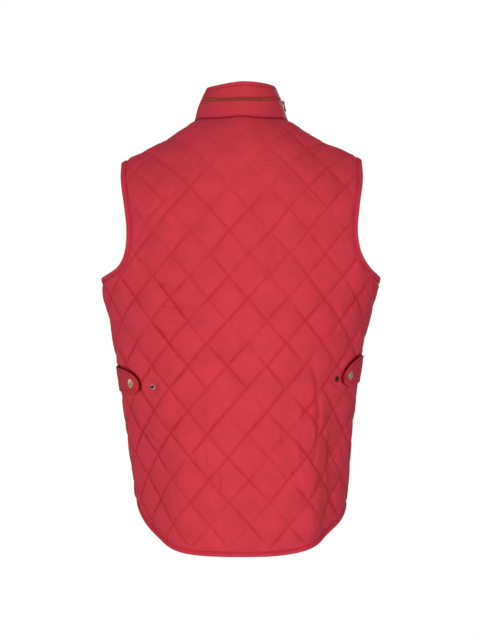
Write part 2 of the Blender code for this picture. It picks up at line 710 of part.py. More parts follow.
def armhole_binding(name, back, front, side):
    word = "left" if side > 0 else "right"
    back_run, front_run = back["armhole_" + word], front["armhole"]
    side_seam, shoulder = back["side_" + word], back["shoulder_" + word]
    if side > 0:  # the back's run goes up from the side seam, the front's goes up too
        ends = seam_direction(side_seam, False), seam_direction(shoulder, True)
    else:
        ends = seam_direction(shoulder, False), seam_direction(side_seam, True)
    stations = edge_stations(BACK, back_run, *ends)
    front_stations = edge_stations(FRONT, front_run)[1:-1]
    stations += front_stations[::-1]
    section = binding_section(ARMHOLE_BINDING)
    return swept(name, [binding_ring(s, section) for s in stations], True, RED_TRIM, 0.6)


def hem_binding(name, back, front_left, front_right):
    down_left, down_right = seam_direction(back["side_left"], True), seam_direction(back["side_right"], False)
    right = edge_stations(FRONT, front_right["hem"])
    middle = edge_stations(BACK, back["hem"], down_right, down_left)
    left = edge_stations(FRONT, front_left["hem"])
    stations = left[:-1] + middle[::-1] + right[1:]
    section = binding_section(HEM_BINDING)
    return swept(name, [binding_ring(s, section) for s in stations], False, RED_TRIM, 0.6)


# ---- The collar --------------------------------------------------------------------------------------------
def neck_point(turn):
    """The middle of the neck seam at a turn round the neck."""
    half = BACK if abs(turn) <= SIDE_NECK_TURN else FRONT
    return half.points(half.place_on_neck(np.array([turn])), np.zeros(1))[0][0]


def collar_middle(turn, share):
    """The collar's middle surface: share 0 is the neck seam and 1 the top edge."""
    base = neck_point(turn)
    share += COLLAR_ZIP_RISE * math.sin(turn) ** 2 * ease(0.08, 0.38, share) * ease(0.95, 0.65, share)
    middle, reach = (COLLAR_TOP_BACK + COLLAR_TOP_FRONT) / 2, (COLLAR_TOP_BACK - COLLAR_TOP_FRONT) / 2
    dip = ease(math.radians(75), math.pi, abs(turn))
    sag = COLLAR_TOP_SAG * max(math.sin(2 * turn), 0.0) if abs(turn) < math.pi / 2 else 0.0
    top = np.array(
        [
            COLLAR_TOP_HALF_WIDTH * math.sin(turn),
            middle + reach * math.cos(turn),
            COLLAR_TOP_HEIGHT
            + (COLLAR_TOP_HEIGHT_FRONT - COLLAR_TOP_HEIGHT) * dip
            - COLLAR_TOP_ARCH * math.sin(turn) ** 2
            - sag,
        ]
    )
    bow = (COLLAR_BOW + COLLAR_BOW_LEFT * max(math.sin(turn), 0.0) ** 2) * math.sin(math.pi * share)
    outward = np.array([math.sin(turn), math.cos(turn), 0.0])
    return base + (top - base) * share + outward * bow


def collar_edge_turn(share):
    """The turn at which the collar meets the front zip."""
    half_width = NECK_HALF_WIDTH + (COLLAR_TOP_HALF_WIDTH - NECK_HALF_WIDTH) * share
    return math.pi - math.asin(ZIP_HALF_GAP / half_width)


def collar_frame(turn, share):
    """(point, outward normal, upward direction) on the collar's middle surface."""
    nudge = 1e-3
    low, high = max(share - nudge, 0.0), min(share + nudge, 1.0)
    up = unit(collar_middle(turn, high) - collar_middle(turn, low))
    ahead = collar_middle(turn + nudge, share) - collar_middle(turn - nudge, share)
    return collar_middle(turn, share), unit(np.cross(up, ahead)), up


def collar_height(turn):
    return np.linalg.norm(collar_middle(turn, 1.0) - collar_middle(turn, 0.0))


def collar_rows():
    """(share of the height, half wall outside) from the neck seam to the top, with the slot for the zip."""
    height = collar_height(0.0)
    slot, lip = COLLAR_ZIP_HALF_SLOT / height, 0.35 * MM / height
    below, above = COLLAR_ZIP_HEIGHT - slot, COLLAR_ZIP_HEIGHT + slot
    return (
        (COLLAR_START / height, False),
        (0.25, False),
        (below - lip, False),
        (below, True),
        (above, True),
        (above + lip, False),
        (0.86, False),
        (1.0, False),
    )


def collar():
    """One wall from front edge to front edge, with a slot round its back for the zip."""
    outer, inner = [], []
    for station in range(COLLAR_STATIONS):
        share_round = 2 * station / (COLLAR_STATIONS - 1) - 1
        outer_row, inner_row = [], []
        for share, slotted in collar_rows():
            turn = share_round * collar_edge_turn(share)
            point, out, _ = collar_frame(turn, share)
            zipped = COLLAR_ZIP_ENDS[0] - math.radians(4) < turn < COLLAR_ZIP_ENDS[1] + math.radians(4)
            depth = COLLAR_ZIP_DEPTH if slotted and zipped else 0.0
            outer_row.append(point + out * (COLLAR_HALF_WALL - depth))
            inner_row.append(point - out * COLLAR_HALF_WALL)
        outer.append(outer_row)
        inner.append(inner_row[::-1])
    rings = [a + b for a, b in zip(outer, inner)]
    return swept("collar", rings, False, RED, 0.6)


# ---- Zips --------------------------------------------------------------------------------------------------
def zip_section(half_tape, half_teeth, tape, teeth):
    """A closed zip seen end on, as (across, out): a flat tape with the closed teeth standing along its middle."""
    return (
        (-half_tape, tape / 2),
        (-half_teeth, tape / 2),
        (-half_teeth * 0.8, teeth / 2),
        (half_teeth * 0.8, teeth / 2),
        (half_teeth, tape / 2),
        (half_tape, tape / 2),
        (half_tape, -tape / 2),
        (-half_tape, -tape / 2),
    )


def front_zip_line():
    """(point, outward normal) down the centre front, from the collar's top to the hem."""
    top = [collar_frame(math.pi, share)[:2] for share in np.linspace(0.985, 0.04, 8)]
    neck_up = FRONT.place_on_neck(np.array([math.pi]))[0, 1]
    hem_up = hem_run(FRONT, HEM_FRONT, np.zeros(1))[0, 1]
    ups = np.linspace(neck_up - 3 * MM, hem_up + 2 * MM, FRONT_ZIP_STATIONS - len(top))
    points, out = FRONT.points(np.stack([np.zeros_like(ups), ups], axis=1), np.zeros(len(ups)))
    return top + list(zip(points, out))


def front_zip():
    half_tape = ZIP_HALF_GAP - SEAM_GAP
    section = zip_section(half_tape, ZIP_TEETH_WIDTH / 2, ZIP_TAPE, ZIP_TEETH_THICK)
    across = np.array([1.0, 0.0, 0.0])
    rings = [[point + across * a + out * lift for a, lift in section] for point, out in front_zip_line()]
    return swept("front_zip", rings, False, BRASS, 0.45)


def collar_zip_middle():
    """How far the middle of the collar's zip lies out from the collar's middle surface."""
    return COLLAR_HALF_WALL - COLLAR_ZIP_DEPTH + SEAM_GAP + COLLAR_ZIP_TAPE / 2


def collar_zip():
    """The zip round the back of the collar, in its slot."""
    half_tape = COLLAR_ZIP_HALF_SLOT - SEAM_GAP
    section = zip_section(half_tape, ZIP_TEETH_WIDTH / 2, COLLAR_ZIP_TAPE, COLLAR_ZIP_TEETH)
    rings = []
    for turn in np.linspace(*COLLAR_ZIP_ENDS, COLLAR_ZIP_STATIONS):
        point, out, up = collar_frame(turn, COLLAR_ZIP_HEIGHT)
        rings.append([point + up * a + out * (collar_zip_middle() + lift) for a, lift in section])
    return swept("collar_zip", rings, False, BRASS, 0.45)


# Slider and pull share one layout: x along the bar that the pull turns on, y down the pull, z out of the cloth.
# A slider's size is (half its width along x, half its length along y).
FRONT_SLIDER = (4.0 * MM, 5.0 * MM)
COLLAR_SLIDER = (5.0 * MM, 3.4 * MM)
SLIDER_THICK, COLLAR_SLIDER_THICK = 2.4 * MM, 1.9 * MM
COLLAR_PULL_LEAN = math.radians(8)  # how far the pull leans in towards the collar
CROWN_HALF_WIDTH, CROWN_THICK, CROWN_ROOM = 1.1 * MM, 1.0 * MM, 2.4 * MM
BAR_Z, BAR_HALF_WIDTH = 1.2 * MM, 0.6 * MM
PULL_THICK = 1.2 * MM


def placed(piece, origin, axes):
    """Put a piece made in its own layout where it belongs: its axes are given in the garment's."""
    turned_to = Matrix([[float(axis[row]) for axis in axes] for row in range(3)]).to_4x4()
    piece.matrix_world = Matrix.Translation(Vector(map(float, origin))) @ turned_to
    return piece


def extruded(name, outline, low, high, order, colour, roughness, metallic):
    """A closed outline of (a, b) pushed from low to high along c; `order` says which of a, b, c is x, y and z."""
    corners = [tuple((a, b, c)[pick] for pick in order) for c in (low, high) for a, b in outline]
    count = len(outline)
    faces = [tuple(range(count)), tuple(reversed(range(count, 2 * count)))]
    faces += [(i, (i + 1) % count, count + (i + 1) % count, count + i) for i in range(count)]
    return add_object(name, corners, faces, colour, roughness, metallic, 30)


def slider(name, frame, size, slider_thick):
    """A slider with a crown, an arch for the pull, across its top."""
    w, l, c = size[0], size[1], 1.6 * MM
    plan = ((-w + c, -l), (w - c, -l), (w, -l + c), (0.75 * w, l), (-0.75 * w, l), (-w, -l + c))
    body = extruded(name, plan, -slider_thick, 0.0, (0, 1, 2), BRASS, 0.35, 0.9)
    out, thick, top = 0.8 * l, CROWN_THICK, CROWN_ROOM + CROWN_THICK
    staple = (
        (-out, -0.5 * MM), (-out, top - thick), (-out + thick, top), (out - thick, top), (out, top - thick),
        (out, -0.5 * MM), (out - thick, -0.5 * MM), (out - thick, CROWN_ROOM), (-out + thick, CROWN_ROOM),
        (-out + thick, -0.5 * MM),
    )
    half = CROWN_HALF_WIDTH
    crown = extruded(name + "_crown", staple, -half, half, (2, 0, 1), BRASS, 0.35, 0.9)
    crown.hide_render = True
    crown.display_type = "WIRE"
    union = body.modifiers.new("crown", "BOOLEAN")
    union.operation = "UNION"
    union.object = crown
    placed(crown, *frame)
    return placed(body, *frame)


def pull(name, frame, size, length, half_width, lean):
    """A flat pull with a window, whose end bar lies under the crown. Its origin is on the bar it turns on."""
    corner, window = 0.8 * MM, CROWN_HALF_WIDTH + 0.5 * MM
    near, far = BAR_HALF_WIDTH, 6.4 * MM
    outer, hole = [], []
    for ring, x, low, high, cut in (
        (outer, half_width, -near, length, corner),
        (hole, window, near, far, 0.4 * MM),
    ):
        ring += [(x - cut, low), (x, low + cut), (x, high - cut), (x - cut, high)]
        ring += [(-x + cut, high), (-x, high - cut), (-x, low + cut), (-x + cut, low)]
    half, count = PULL_THICK / 2, len(outer)
    corners = [(x, y, z) for z in (-half, half) for ring in (outer, hole) for x, y in ring]
    faces = []
    for i in range(count):
        j = (i + 1) % count
        faces += [(i, j, count + j, count + i), (2 * count + i, 3 * count + i, 3 * count + j, 2 * count + j)]
        faces += [(i, 2 * count + i, 2 * count + j, j), (count + i, count + j, 3 * count + j, 3 * count + i)]
    origin, axes = frame
    bar = origin + axes[1] * 0.2 * size[1] + axes[2] * BAR_Z
    down, out = axes[1] * math.cos(lean) - axes[2] * math.sin(lean), axes[2] * math.cos(lean) + axes[1] * math.sin(lean)
    axes = (axes[0], down, out)
    return placed(add_object(name, corners, faces, BRASS, 0.35, 0.9, 30), bar, axes)


def front_slider_frame():
    point, out, up = collar_frame(math.pi, 0.88)
    origin = point + out * (ZIP_TEETH_THICK / 2 + SEAM_GAP + SLIDER_THICK)
    return origin, (unit(np.cross(-up, out)), -up, out)


def collar_slider_frame():
    turn = COLLAR_ZIP_ENDS[0] + math.radians(9)
    point, out, up = collar_frame(turn, COLLAR_ZIP_HEIGHT)
    lift = collar_zip_middle() + COLLAR_ZIP_TEETH / 2 + SEAM_GAP + COLLAR_SLIDER_THICK
    return point + out * lift, (unit(np.cross(-up, out)), -up, out)


# ---- Side tabs and press studs -----------------------------------------------------------------------------
def tab_place(tab, along_tab, over):
    """(across, up) on the back at a length along a tab from its seam and a distance above its middle line."""
    share = along_tab / tab["length"]
    height = tab["height"] - tab["drop"] * share + tab["belly"] * math.sin(math.pi * min(share, 1)) + over
    level = np.interp(height, BACK.heights(0.0), BACK.levels)
    seam = BACK.place(np.array([tab["side"] * math.pi / 2]), np.array([level]))[0]
    return np.array([seam[0] - tab["side"] * along_tab, seam[1]])


def tab_half_width(tab, share):
    """Half the tab's width, from its seam (0) to its rounded point (1)."""
    return (TAB_HALF_WIDTH + tab["belly"] * math.sin(math.pi * share)) * (1 - share**6.5) ** 0.5


def side_tab(name, tab):
    """A strap of doubled cloth sewn into the side seam, lying over the quilting."""
    rings = []
    for share in np.concatenate([np.linspace(0.004, 0.8, 9), 1 - 0.2 * np.array([0.6, 0.3, 0.12, 0.02])]):
        half_width = tab_half_width(tab, share)
        lift = HALF_WALL + SEAM_GAP + (TAB_RISE - HALF_WALL) * ease(0.0, 0.3, share)
        upper, lower = [], []
        for over in np.linspace(-half_width, half_width, 7):
            place = tab_place(tab, share * tab["length"], over)
            low, out = BACK.points([place], np.array([lift]))
            lower.append(low[0])
            upper.append(low[0] + out[0] * TAB_CLOTH)
        rings.append(upper + lower[::-1])
    return swept(name, rings, False, RED_TRIM, 0.6)


def turned(name, profile, base, out, colour, roughness, metallic):
    """A round piece from (radius, height) points, on a base point and along an outward axis."""
    vertices = [(0.0, 0.0, profile[0][1])]
    for radius, height in profile[1:-1]:
        for step in range(ROUND_SIDES):
            angle = 2 * math.pi * step / ROUND_SIDES
            vertices.append((radius * math.cos(angle), radius * math.sin(angle), height))
    vertices.append((0.0, 0.0, profile[-1][1]))
    faces, rings = [], len(profile) - 2
    for step in range(ROUND_SIDES):
        beside = (step + 1) % ROUND_SIDES
        faces.append((0, 1 + step, 1 + beside))
        for ring in range(rings - 1):
            first, second = 1 + ring * ROUND_SIDES, 1 + (ring + 1) * ROUND_SIDES
            faces.append((first + step, second + step, second + beside, first + beside))
        last = 1 + (rings - 1) * ROUND_SIDES
        faces.append((last + step, len(vertices) - 1, last + beside))
    aside = unit(np.cross([0.0, 0.0, 1.0], out))
    piece = add_object(name, vertices, faces, colour, roughness, metallic, 35)
    return placed(piece, base, (aside, np.cross(out, aside), out))


def snap_cap(name, tab):
    """The domed cap of the press stud, on the tab."""
    place = tab_place(tab, tab["length"] - tab["cap_from_tip"], 0.0)
    base, out = BACK.points([place], np.array([TAB_RISE + SEAM_GAP + TAB_CLOTH + 2 * SEAM_GAP]))
    r = SNAP_CAP_RADIUS
    profile = ((0, 0), (r, 0), (r, 0.7 * MM), (0.86 * r, 1.5 * MM), (0.5 * r, 2.0 * MM), (0, 2.2 * MM))
    return turned(name, profile, base[0], out[0], BRASS, 0.35, 0.9)


def stud_place(tab):
    return tab_place(tab, tab["length"] + tab["stud_past_tip"], 0.0)


def snap_stud(name, tab):
    """The bare post of the second press stud, on the back beside the tab."""
    base, out = BACK.points([stud_place(tab)], np.array([HALF_WALL + SEAM_GAP]))
    r = STUD_RADIUS
    profile = (
        (0, 0), (r, 0), (r, 0.7 * MM), (0.72 * r, 1.1 * MM), (0.42 * r, 1.2 * MM),
        (0.40 * r, 2.4 * MM), (0.47 * r, 3.0 * MM), (0.3 * r, 3.5 * MM), (0, 3.5 * MM),
    )
    return turned(name, profile, base[0], out[0], BRASS, 0.35, 0.9)


def build():
    for old in list(bpy.data.objects):
        bpy.data.objects.remove(old)
    tabs = [dict(zip(("name",) + TAB_COLUMNS, row)) for row in TABS]
    back, front_left, front_right = back_runs(), front_runs(1), front_runs(-1)
    quilted_panel("back", BACK, back, [(stud_place(tab), STUD_RADIUS + 2 * MM) for tab in tabs])
    quilted_panel("front_left", FRONT, front_left)
    quilted_panel("front_right", FRONT, front_right)
    collar()
    armhole_binding("armhole_binding_left", back, front_left, 1)
    armhole_binding("armhole_binding_right", back, front_right, -1)
    hem_binding("hem_binding", back, front_left, front_right)
    front_zip()
    collar_zip()
    slider("front_zip_slider", front_slider_frame(), FRONT_SLIDER, SLIDER_THICK)
    pull("front_zip_pull", front_slider_frame(), FRONT_SLIDER, 30 * MM, 3.4 * MM, 0.0)
    slider("collar_zip_slider", collar_slider_frame(), COLLAR_SLIDER, COLLAR_SLIDER_THICK)
    pull("collar_zip_pull", collar_slider_frame(), COLLAR_SLIDER, 16 * MM, 2.8 * MM, COLLAR_PULL_LEAN)
    for tab in tabs:
        side_tab("side_tab_" + tab["name"], tab)
        snap_cap("snap_cap_" + tab["name"], tab)
        snap_stud("snap_stud_" + tab["name"], tab)


build()
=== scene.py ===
"""The looks of a quilted gilet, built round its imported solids.

Metres, +Z up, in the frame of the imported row: the front faces -Y, the wearer's left is +X and the origin is
the middle of the neck. The cloth is made from the same levels and edges as the solids, only finer, and the
stitching, the zip teeth and the creases are made here.
"""

import math

import bpy
import numpy as np
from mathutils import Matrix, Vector, geometry


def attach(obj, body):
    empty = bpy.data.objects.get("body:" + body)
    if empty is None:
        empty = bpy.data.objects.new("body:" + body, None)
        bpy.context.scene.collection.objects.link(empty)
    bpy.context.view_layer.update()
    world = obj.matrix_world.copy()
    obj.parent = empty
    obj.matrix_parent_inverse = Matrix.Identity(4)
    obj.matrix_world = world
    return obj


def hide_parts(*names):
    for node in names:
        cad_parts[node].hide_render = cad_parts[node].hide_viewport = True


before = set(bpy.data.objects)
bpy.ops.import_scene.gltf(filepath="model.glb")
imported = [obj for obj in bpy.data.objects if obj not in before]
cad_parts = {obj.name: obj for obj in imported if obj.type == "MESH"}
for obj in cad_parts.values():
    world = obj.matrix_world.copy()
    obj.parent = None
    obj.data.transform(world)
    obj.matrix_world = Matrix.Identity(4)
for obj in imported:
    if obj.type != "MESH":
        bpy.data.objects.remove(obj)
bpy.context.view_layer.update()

MM = 0.001

# ---- The body, level by level, as in the solids --------------------------------------------------
SECTION_COLUMNS = ("height", "half_width", "back", "front", "slope", "sway")
SECTIONS = (
    # name        height  half_width  back    front   slope   sway
    ("below_hem", -0.760,  0.1765,    0.179,  0.146,  0.000, -0.0005),
    ("tail",      -0.700,  0.1775,    0.176,  0.144,  0.000, -0.0005),
    ("seat",      -0.640,  0.1795,    0.172,  0.141,  0.000,  0.0000),
    ("hip",       -0.570,  0.1865,    0.166,  0.136,  0.000,  0.0020),
    ("high_hip",  -0.500,  0.1950,    0.160,  0.131,  0.000,  0.0040),
    ("waist",     -0.430,  0.2045,    0.155,  0.127,  0.000,  0.0045),
    ("ribs",      -0.350,  0.2185,    0.151,  0.127,  0.000,  0.0040),
    ("underarm",  -0.268,  0.2385,    0.145,  0.129,  0.000,  0.0010),
    ("blade",     -0.195,  0.2430,    0.139,  0.127,  0.110,  0.0000),
    ("armhole",   -0.125,  0.2435,    0.131,  0.116,  0.260,  0.0000),
    ("yoke",      -0.065,  0.2425,    0.116,  0.096,  0.390,  0.0000),
    ("high_yoke", -0.020,  0.2410,    0.093,  0.070,  0.485,  0.0000),
    ("roll",       0.015,  0.2395,    0.060,  0.043,  0.522,  0.0000),
    ("crest",      0.034,  0.2385,    0.026,  0.018,  0.532,  0.0000),
    ("shoulder",   0.0385, 0.2380,    0.000,  0.000,  0.534,  0.0000),
)
WAIST_LEVEL, UNDERARM_LEVEL, BLADE_LEVEL, TOP_LEVEL = 5, 7, 8, 14
SHOULDER_ROUND = 0.020
SHOULDER_TIP = 0.2055
SHOULDER_SAG, SHOULDER_LEAN = 0.0085, 0.0105

ARMHOLE_COLUMNS = ("height", "back", "front", "stray")
ARMHOLE = (
    # name        height  back     front   stray
    ("tip",       -0.0610, 0.2055, 0.2055, 0.0000),
    ("upper",     -0.0980, 0.2050, 0.1990, 0.0005),
    ("middle",    -0.1400, 0.1985, 0.1895, 0.0005),
    ("narrowest", -0.1840, 0.1935, 0.1850, 0.0010),
    ("turn",      -0.2220, 0.1980, 0.1925, 0.0025),
    ("scoop",     -0.2480, 0.2125, 0.2085, 0.0040),
    ("side",      -0.2655, 0.2380, 0.2380, 0.0000),
)
HEM_BACK, HEM_FRONT = -0.7225, -0.7050
HEM_SIDES = {1: (-0.6500, 5.0), -1: (-0.6560, 4.1)}
HEM_CORNER_START, HEM_CORNERS = math.radians(43), (0.0035, 0.0065)
NECK_HALF_WIDTH, NECK_BACK, NECK_FRONT, NECK_FLATNESS = 0.0810, 0.0695, -0.1000, 1.3

# ---- Cloth ---------------------------------------------------------------------------------------
HALF_WALL = 0.9 * MM
SEAM_GAP = 0.3 * MM
ON_WALL = HALF_WALL + SEAM_GAP  # from the middle of a wall to what lies on it
PUFF = 3.6 * MM  # how far the middle of a diamond stands off the wall
DIAMOND_WIDTH, DIAMOND_HEIGHT = 66.0 * MM, 74.8 * MM
DIAMOND_START = (-13.0 * MM, -0.3755)
DIAMOND_SIDE = math.hypot(DIAMOND_WIDTH, DIAMOND_HEIGHT) / 2
LINE_GAP = DIAMOND_WIDTH * DIAMOND_HEIGHT / math.hypot(DIAMOND_WIDTH, DIAMOND_HEIGHT)
OUTER_STEPS, INNER_STEPS = 22, 7
EDGE_STEP = 4.0 * MM
PUFF_RISE = 15.0 * MM
WANDER, WANDER_SIZE = 1.4 * MM, 0.05  # how far the lines of stitches stray, and over what length
INNER_PUFF = 0.7 * MM  # how far the wadding shows on the plain inside

PUCKER, PUCKER_LENGTH, PUCKER_REACH = 1.5 * MM, 4.8 * MM, 7.5 * MM

FOLD_COLUMNS = ("across", "top", "bottom", "width", "height")
BACK_FOLDS = (
    # name           across   top     bottom   width   height
    ("right_ridge",  -0.118, -0.400, -0.760,  0.030,   0.0060),
    ("right_hollow", -0.178, -0.420, -0.760,  0.032,  -0.0070),
    ("left_hollow",   0.168, -0.480, -0.760,  0.036,  -0.0050),
    ("left_ridge",    0.110, -0.500, -0.760,  0.034,   0.0030),
    ("right_blade",  -0.150, -0.120, -0.330,  0.040,  -0.0040),
    ("left_blade",    0.150, -0.130, -0.320,  0.040,  -0.0030),
)
FRONT_FOLDS = (
    # name           across   top     bottom   width   height
    ("left_ridge",    0.105, -0.360, -0.760,  0.036,   0.0045),
    ("left_hollow",   0.170, -0.400, -0.760,  0.036,  -0.0050),
    ("right_ridge",  -0.110, -0.380, -0.760,  0.036,   0.0045),
    ("right_hollow", -0.172, -0.410, -0.760,  0.036,  -0.0050),
)
# The main creases, in millimetres: from (x, z) to (x, z), half width, height (below 0 is a trough).
BACK_CREASES = (
    (156, -316, 76, -322, 2.6, -2.7),
    (150, -324, 84, -329, 3.6, 1.8),
    (135, -343, 90, -346, 2.2, -2.6),
    (140, -351, 96, -353, 3.2, 1.8),
    (96, -340, 42, -342, 3.4, 1.9),
    (80, -355, 44, -356, 2.2, -1.9),
    (176, -238, 136, -224, 3.2, -2.0),
    (150, -280, 112, -284, 2.6, -2.2),
    (62, -548, 60, -588, 2.6, -2.3),
    (68, -552, 67, -584, 3.0, 1.3),
    (40, -588, 37, -618, 2.4, -2.3),
    (46, -592, 44, -616, 2.8, 1.3),
    (-62, -458, -58, -474, 2.2, -1.7),
    (-66, -524, -68, -546, 2.2, -2.0),
    (-113, -388, -111, -590, 4.2, -3.2),
    (-99, -460, -98, -610, 5.5, 2.1),
    (-121, -440, -122, -560, 4.0, 1.3),
    (-146, -505, -150, -660, 5.5, 2.8),
    (-163, -520, -166, -650, 4.2, -2.4),
    (-76, -580, -94, -606, 2.4, -1.8),
    (154, -526, 140, -546, 3.2, -2.1),
    (146, -520, 132, -538, 3.4, 1.3),
    (-18, -308, 2, -318, 2.4, -1.6),
    (-12, -320, 6, -330, 2.6, -1.3),
    (-42, -232, -48, -270, 3.0, -1.7),
    (-36, -236, -42, -262, 2.6, 1.2),
    (11, -90, -8, -84, 2.2, -1.5),
    (-8, -84, -28, -94, 2.2, -1.3),
    (66, -22, 2, -78, 4.0, -0.8),
    (14, -8, -12, -46, 3.6, -0.6),
    (-40, -50, -84, -84, 3.6, -0.6),
    (-104, -120, -128, -148, 3.0, -1.4),
    (-140, -206, -166, -196, 3.0, -1.7),
    (185, -217, 105, -118, 4.6, -2.4),
    (176, -190, 112, -112, 5.5, 1.8),
    (-50, -480, -64, -452, 2.4, 1.2),
    (20, -640, -30, -646, 3.4, -1.6),
    (96, -640, 60, -664, 3.0, -1.6),
    (-16, -658, -22, -630, 2.6, -1.3),
    (120, -600, 104, -640, 3.4, 1.3),
)
FRONT_CREASES = (
    (34, -150, 96, -196, 3.6, -1.5),
    (30, -168, 86, -206, 3.2, 1.0),
    (150, -292, 96, -300, 3.0, -1.7),
    (146, -302, 90, -309, 3.2, 1.1),
    (172, -244, 138, -232, 3.2, -1.4),
    (96, -420, 94, -540, 4.6, -1.9),
    (108, -450, 106, -610, 5.0, 1.5),
    (46, -610, 43, -650, 2.8, -1.5),
    (70, -360, 30, -368, 2.6, -1.2),
    (150, -520, 152, -640, 5.0, 1.6),
    (60, -60, 92, -110, 4.0, -1.0),
    (-32, -142, -88, -178, 3.4, -1.4),
    (-160, -300, -104, -312, 3.0, -1.6),
    (-156, -310, -100, -321, 3.2, 1.0),
    (-170, -240, -140, -226, 3.2, -1.4),
    (-88, -400, -92, -560, 4.6, -1.8),
    (-102, -470, -104, -600, 5.0, 1.5),
    (-40, -560, -38, -604, 2.8, -1.4),
    (-64, -340, -26, -346, 2.6, -1.1),
    (-142, -500, -146, -640, 4.8, 1.4),
    (-58, -58, -90, -104, 4.0, -1.0),
    (-30, -660, -70, -668, 3.0, -1.1),
)

# ---- Trim ----------------------------------------------------------------------------------------
ARMHOLE_BINDING, HEM_BINDING, BINDING_CLOTH = 9.0 * MM, 6.5 * MM, 0.8 * MM
BINDING_STITCH = 1.7 * MM  # from the inner edge of a binding to its stitches

COLLAR_HALF_WALL = 1.4 * MM
COLLAR_TOP_HALF_WIDTH, COLLAR_TOP_BACK, COLLAR_TOP_FRONT = 0.0590, 0.0625, -0.0850
COLLAR_TOP_HEIGHT, COLLAR_TOP_HEIGHT_FRONT = 0.0664, 0.0120
COLLAR_TOP_ARCH, COLLAR_TOP_SAG = 0.0026, 0.0028
COLLAR_BOW, COLLAR_BOW_LEFT = 1.5 * MM, 2.0 * MM
COLLAR_STATIONS = 230
COLLAR_TOP_STITCH = 6.5 * MM

ZIP_HALF_GAP = 6.5 * MM
ZIP_TAPE, ZIP_TEETH_WIDTH, ZIP_TEETH_THICK = 1.0 * MM, 5.0 * MM, 2.6 * MM
COLLAR_ZIP_HEIGHT, COLLAR_ZIP_RISE = 0.505, 0.14
COLLAR_ZIP_HALF_SLOT, COLLAR_ZIP_LIPS, COLLAR_ZIP_DEPTH = 3.6 * MM, 2.7 * MM, 1.7 * MM
COLLAR_ZIP_ENDS = (math.radians(-100), math.radians(68))
COLLAR_ZIP_TAPE, COLLAR_ZIP_TEETH = 0.8 * MM, 1.9 * MM

TAB_COLUMNS = ("side", "height", "drop", "belly", "length", "cap_from_tip", "stud_past_tip")
TABS = (
    # name    side  height   drop    belly   length  cap_from_tip  stud_past_tip
    ("left",   1,  -0.4345,  0.0110, 0.0004, 0.1015, 0.0195,       0.0280),
    ("right", -1,  -0.4170,  0.0165, 0.0027, 0.0895, 0.0150,       0.0130),
)
TAB_HALF_WIDTH, TAB_CLOTH, TAB_STITCH = 20.3 * MM, 2.0 * MM, 4.2 * MM
TAB_RISE = PUFF + HALF_WALL + SEAM_GAP
TAB_TIP = 0.9985  # the last share of its length at which a tab is made
TAB_LINES = 33  # lines of points along a tab
SNAP_CAP_RADIUS, STUD_RADIUS = 7.5 * MM, 5.0 * MM
ROUND_SIDES = 40
METAL_BEVEL = 0.35 * MM

# Layers of the noise, one for each thing that is uneven in its own way. The fronts have left, then right.
WANDER_LAYERS = (7, 8)
ARMHOLE_LAYER, HEM_LAYER, BACK_LAYER, FRONT_LAYERS, TAB_LAYER = 20, 30, 50, (60, 61), 70
RIPPLE_LAYER, PUCKER_LAYER, CRUMPLE_LAYER = 41, 42, 47

# ---- The photographed view -----------------------------------------------------------------------
CAMERA_PLACE = (0.0026, 3.14, -0.337)
FOCAL_PIXELS = 1818.2  # of the 480 x 640 frame
FRAME_HEIGHT, SENSOR = 640, 36.0
FLOOR_HEIGHT, FLOOR_RADIUS = -1.30, 2.2
AMBIENT = 0.40


def columns(rows, names):
    numbers = np.array([row[1:] for row in rows], float)
    return {name: numbers[:, i] for i, name in enumerate(names)}


def named_rows(rows, names):
    return [dict(zip(("name",) + names, row)) for row in rows]


LEVELS = columns(SECTIONS, SECTION_COLUMNS)


def smooth(values, at):
    """Values, one at each whole number, joined by a smooth curve and read at `at`."""
    last = len(values) - 1
    at = np.clip(np.asarray(at, float), 0, last)
    low = np.minimum(at.astype(int), last - 1)
    share = at - low
    padded = np.concatenate([[2 * values[0] - values[1]], values, [2 * values[-1] - values[-2]]])
    before, start, end, after = (padded[low + i] for i in range(4))
    bend = 2 * before - 5 * start + 4 * end - after
    twist = 3 * (start - end) + after - before
    return start + 0.5 * share * (end - before + share * (bend + share * twist))


def of_level(column, at):
    """A column of the table of sections, read at any level."""
    return smooth(LEVELS[column], at)


def ease(low, high, value):
    share = np.clip((value - low) / (high - low), 0, 1)
    return share * share * (3 - 2 * share)


def bump(centre, width, value):
    return np.exp(-(((value - centre) / width) ** 2))


def unit(vectors):
    return vectors / np.linalg.norm(vectors, axis=-1, keepdims=True)


def along(points):
    steps = np.linalg.norm(np.diff(points, axis=0), axis=1)
    return np.concatenate([[0], np.cumsum(steps)])


def read_at(wanted, gone, rows):
    """Rows that are known at the lengths `gone`, read at the wanted lengths."""
    return np.stack([np.interp(wanted, gone, column) for column in rows.T], axis=-1)


def resample(points, step):
    """The same line with its points evenly about `step` apart, and its two ends kept."""
    points = np.asarray(points, float)
    gone = along(points)
    count = max(2, round(gone[-1] / step) + 1)
    return read_at(np.linspace(0, gone[-1], count), gone, points)


NOISE_SIZE = 128
NOISE = np.random.RandomState(11).uniform(-1, 1, (NOISE_SIZE, NOISE_SIZE))


def noise(x, y, layer=0):
    """Smooth values from -1 to 1 that change over a distance of 1."""
    x, y = np.broadcast_arrays(np.asarray(x, float) + 37.7 * layer, np.asarray(y, float) + 19.3 * layer)
    i, j = np.floor(x).astype(int), np.floor(y).astype(int)
    u, v = x - i, y - j
    u, v = u * u * (3 - 2 * u), v * v * (3 - 2 * v)

    def pick(a, b):
        return NOISE[(i + a) % NOISE_SIZE, (j + b) % NOISE_SIZE]

    return (pick(0, 0) * (1 - u) + pick(1, 0) * u) * (1 - v) + (pick(0, 1) * (1 - u) + pick(1, 1) * u) * v


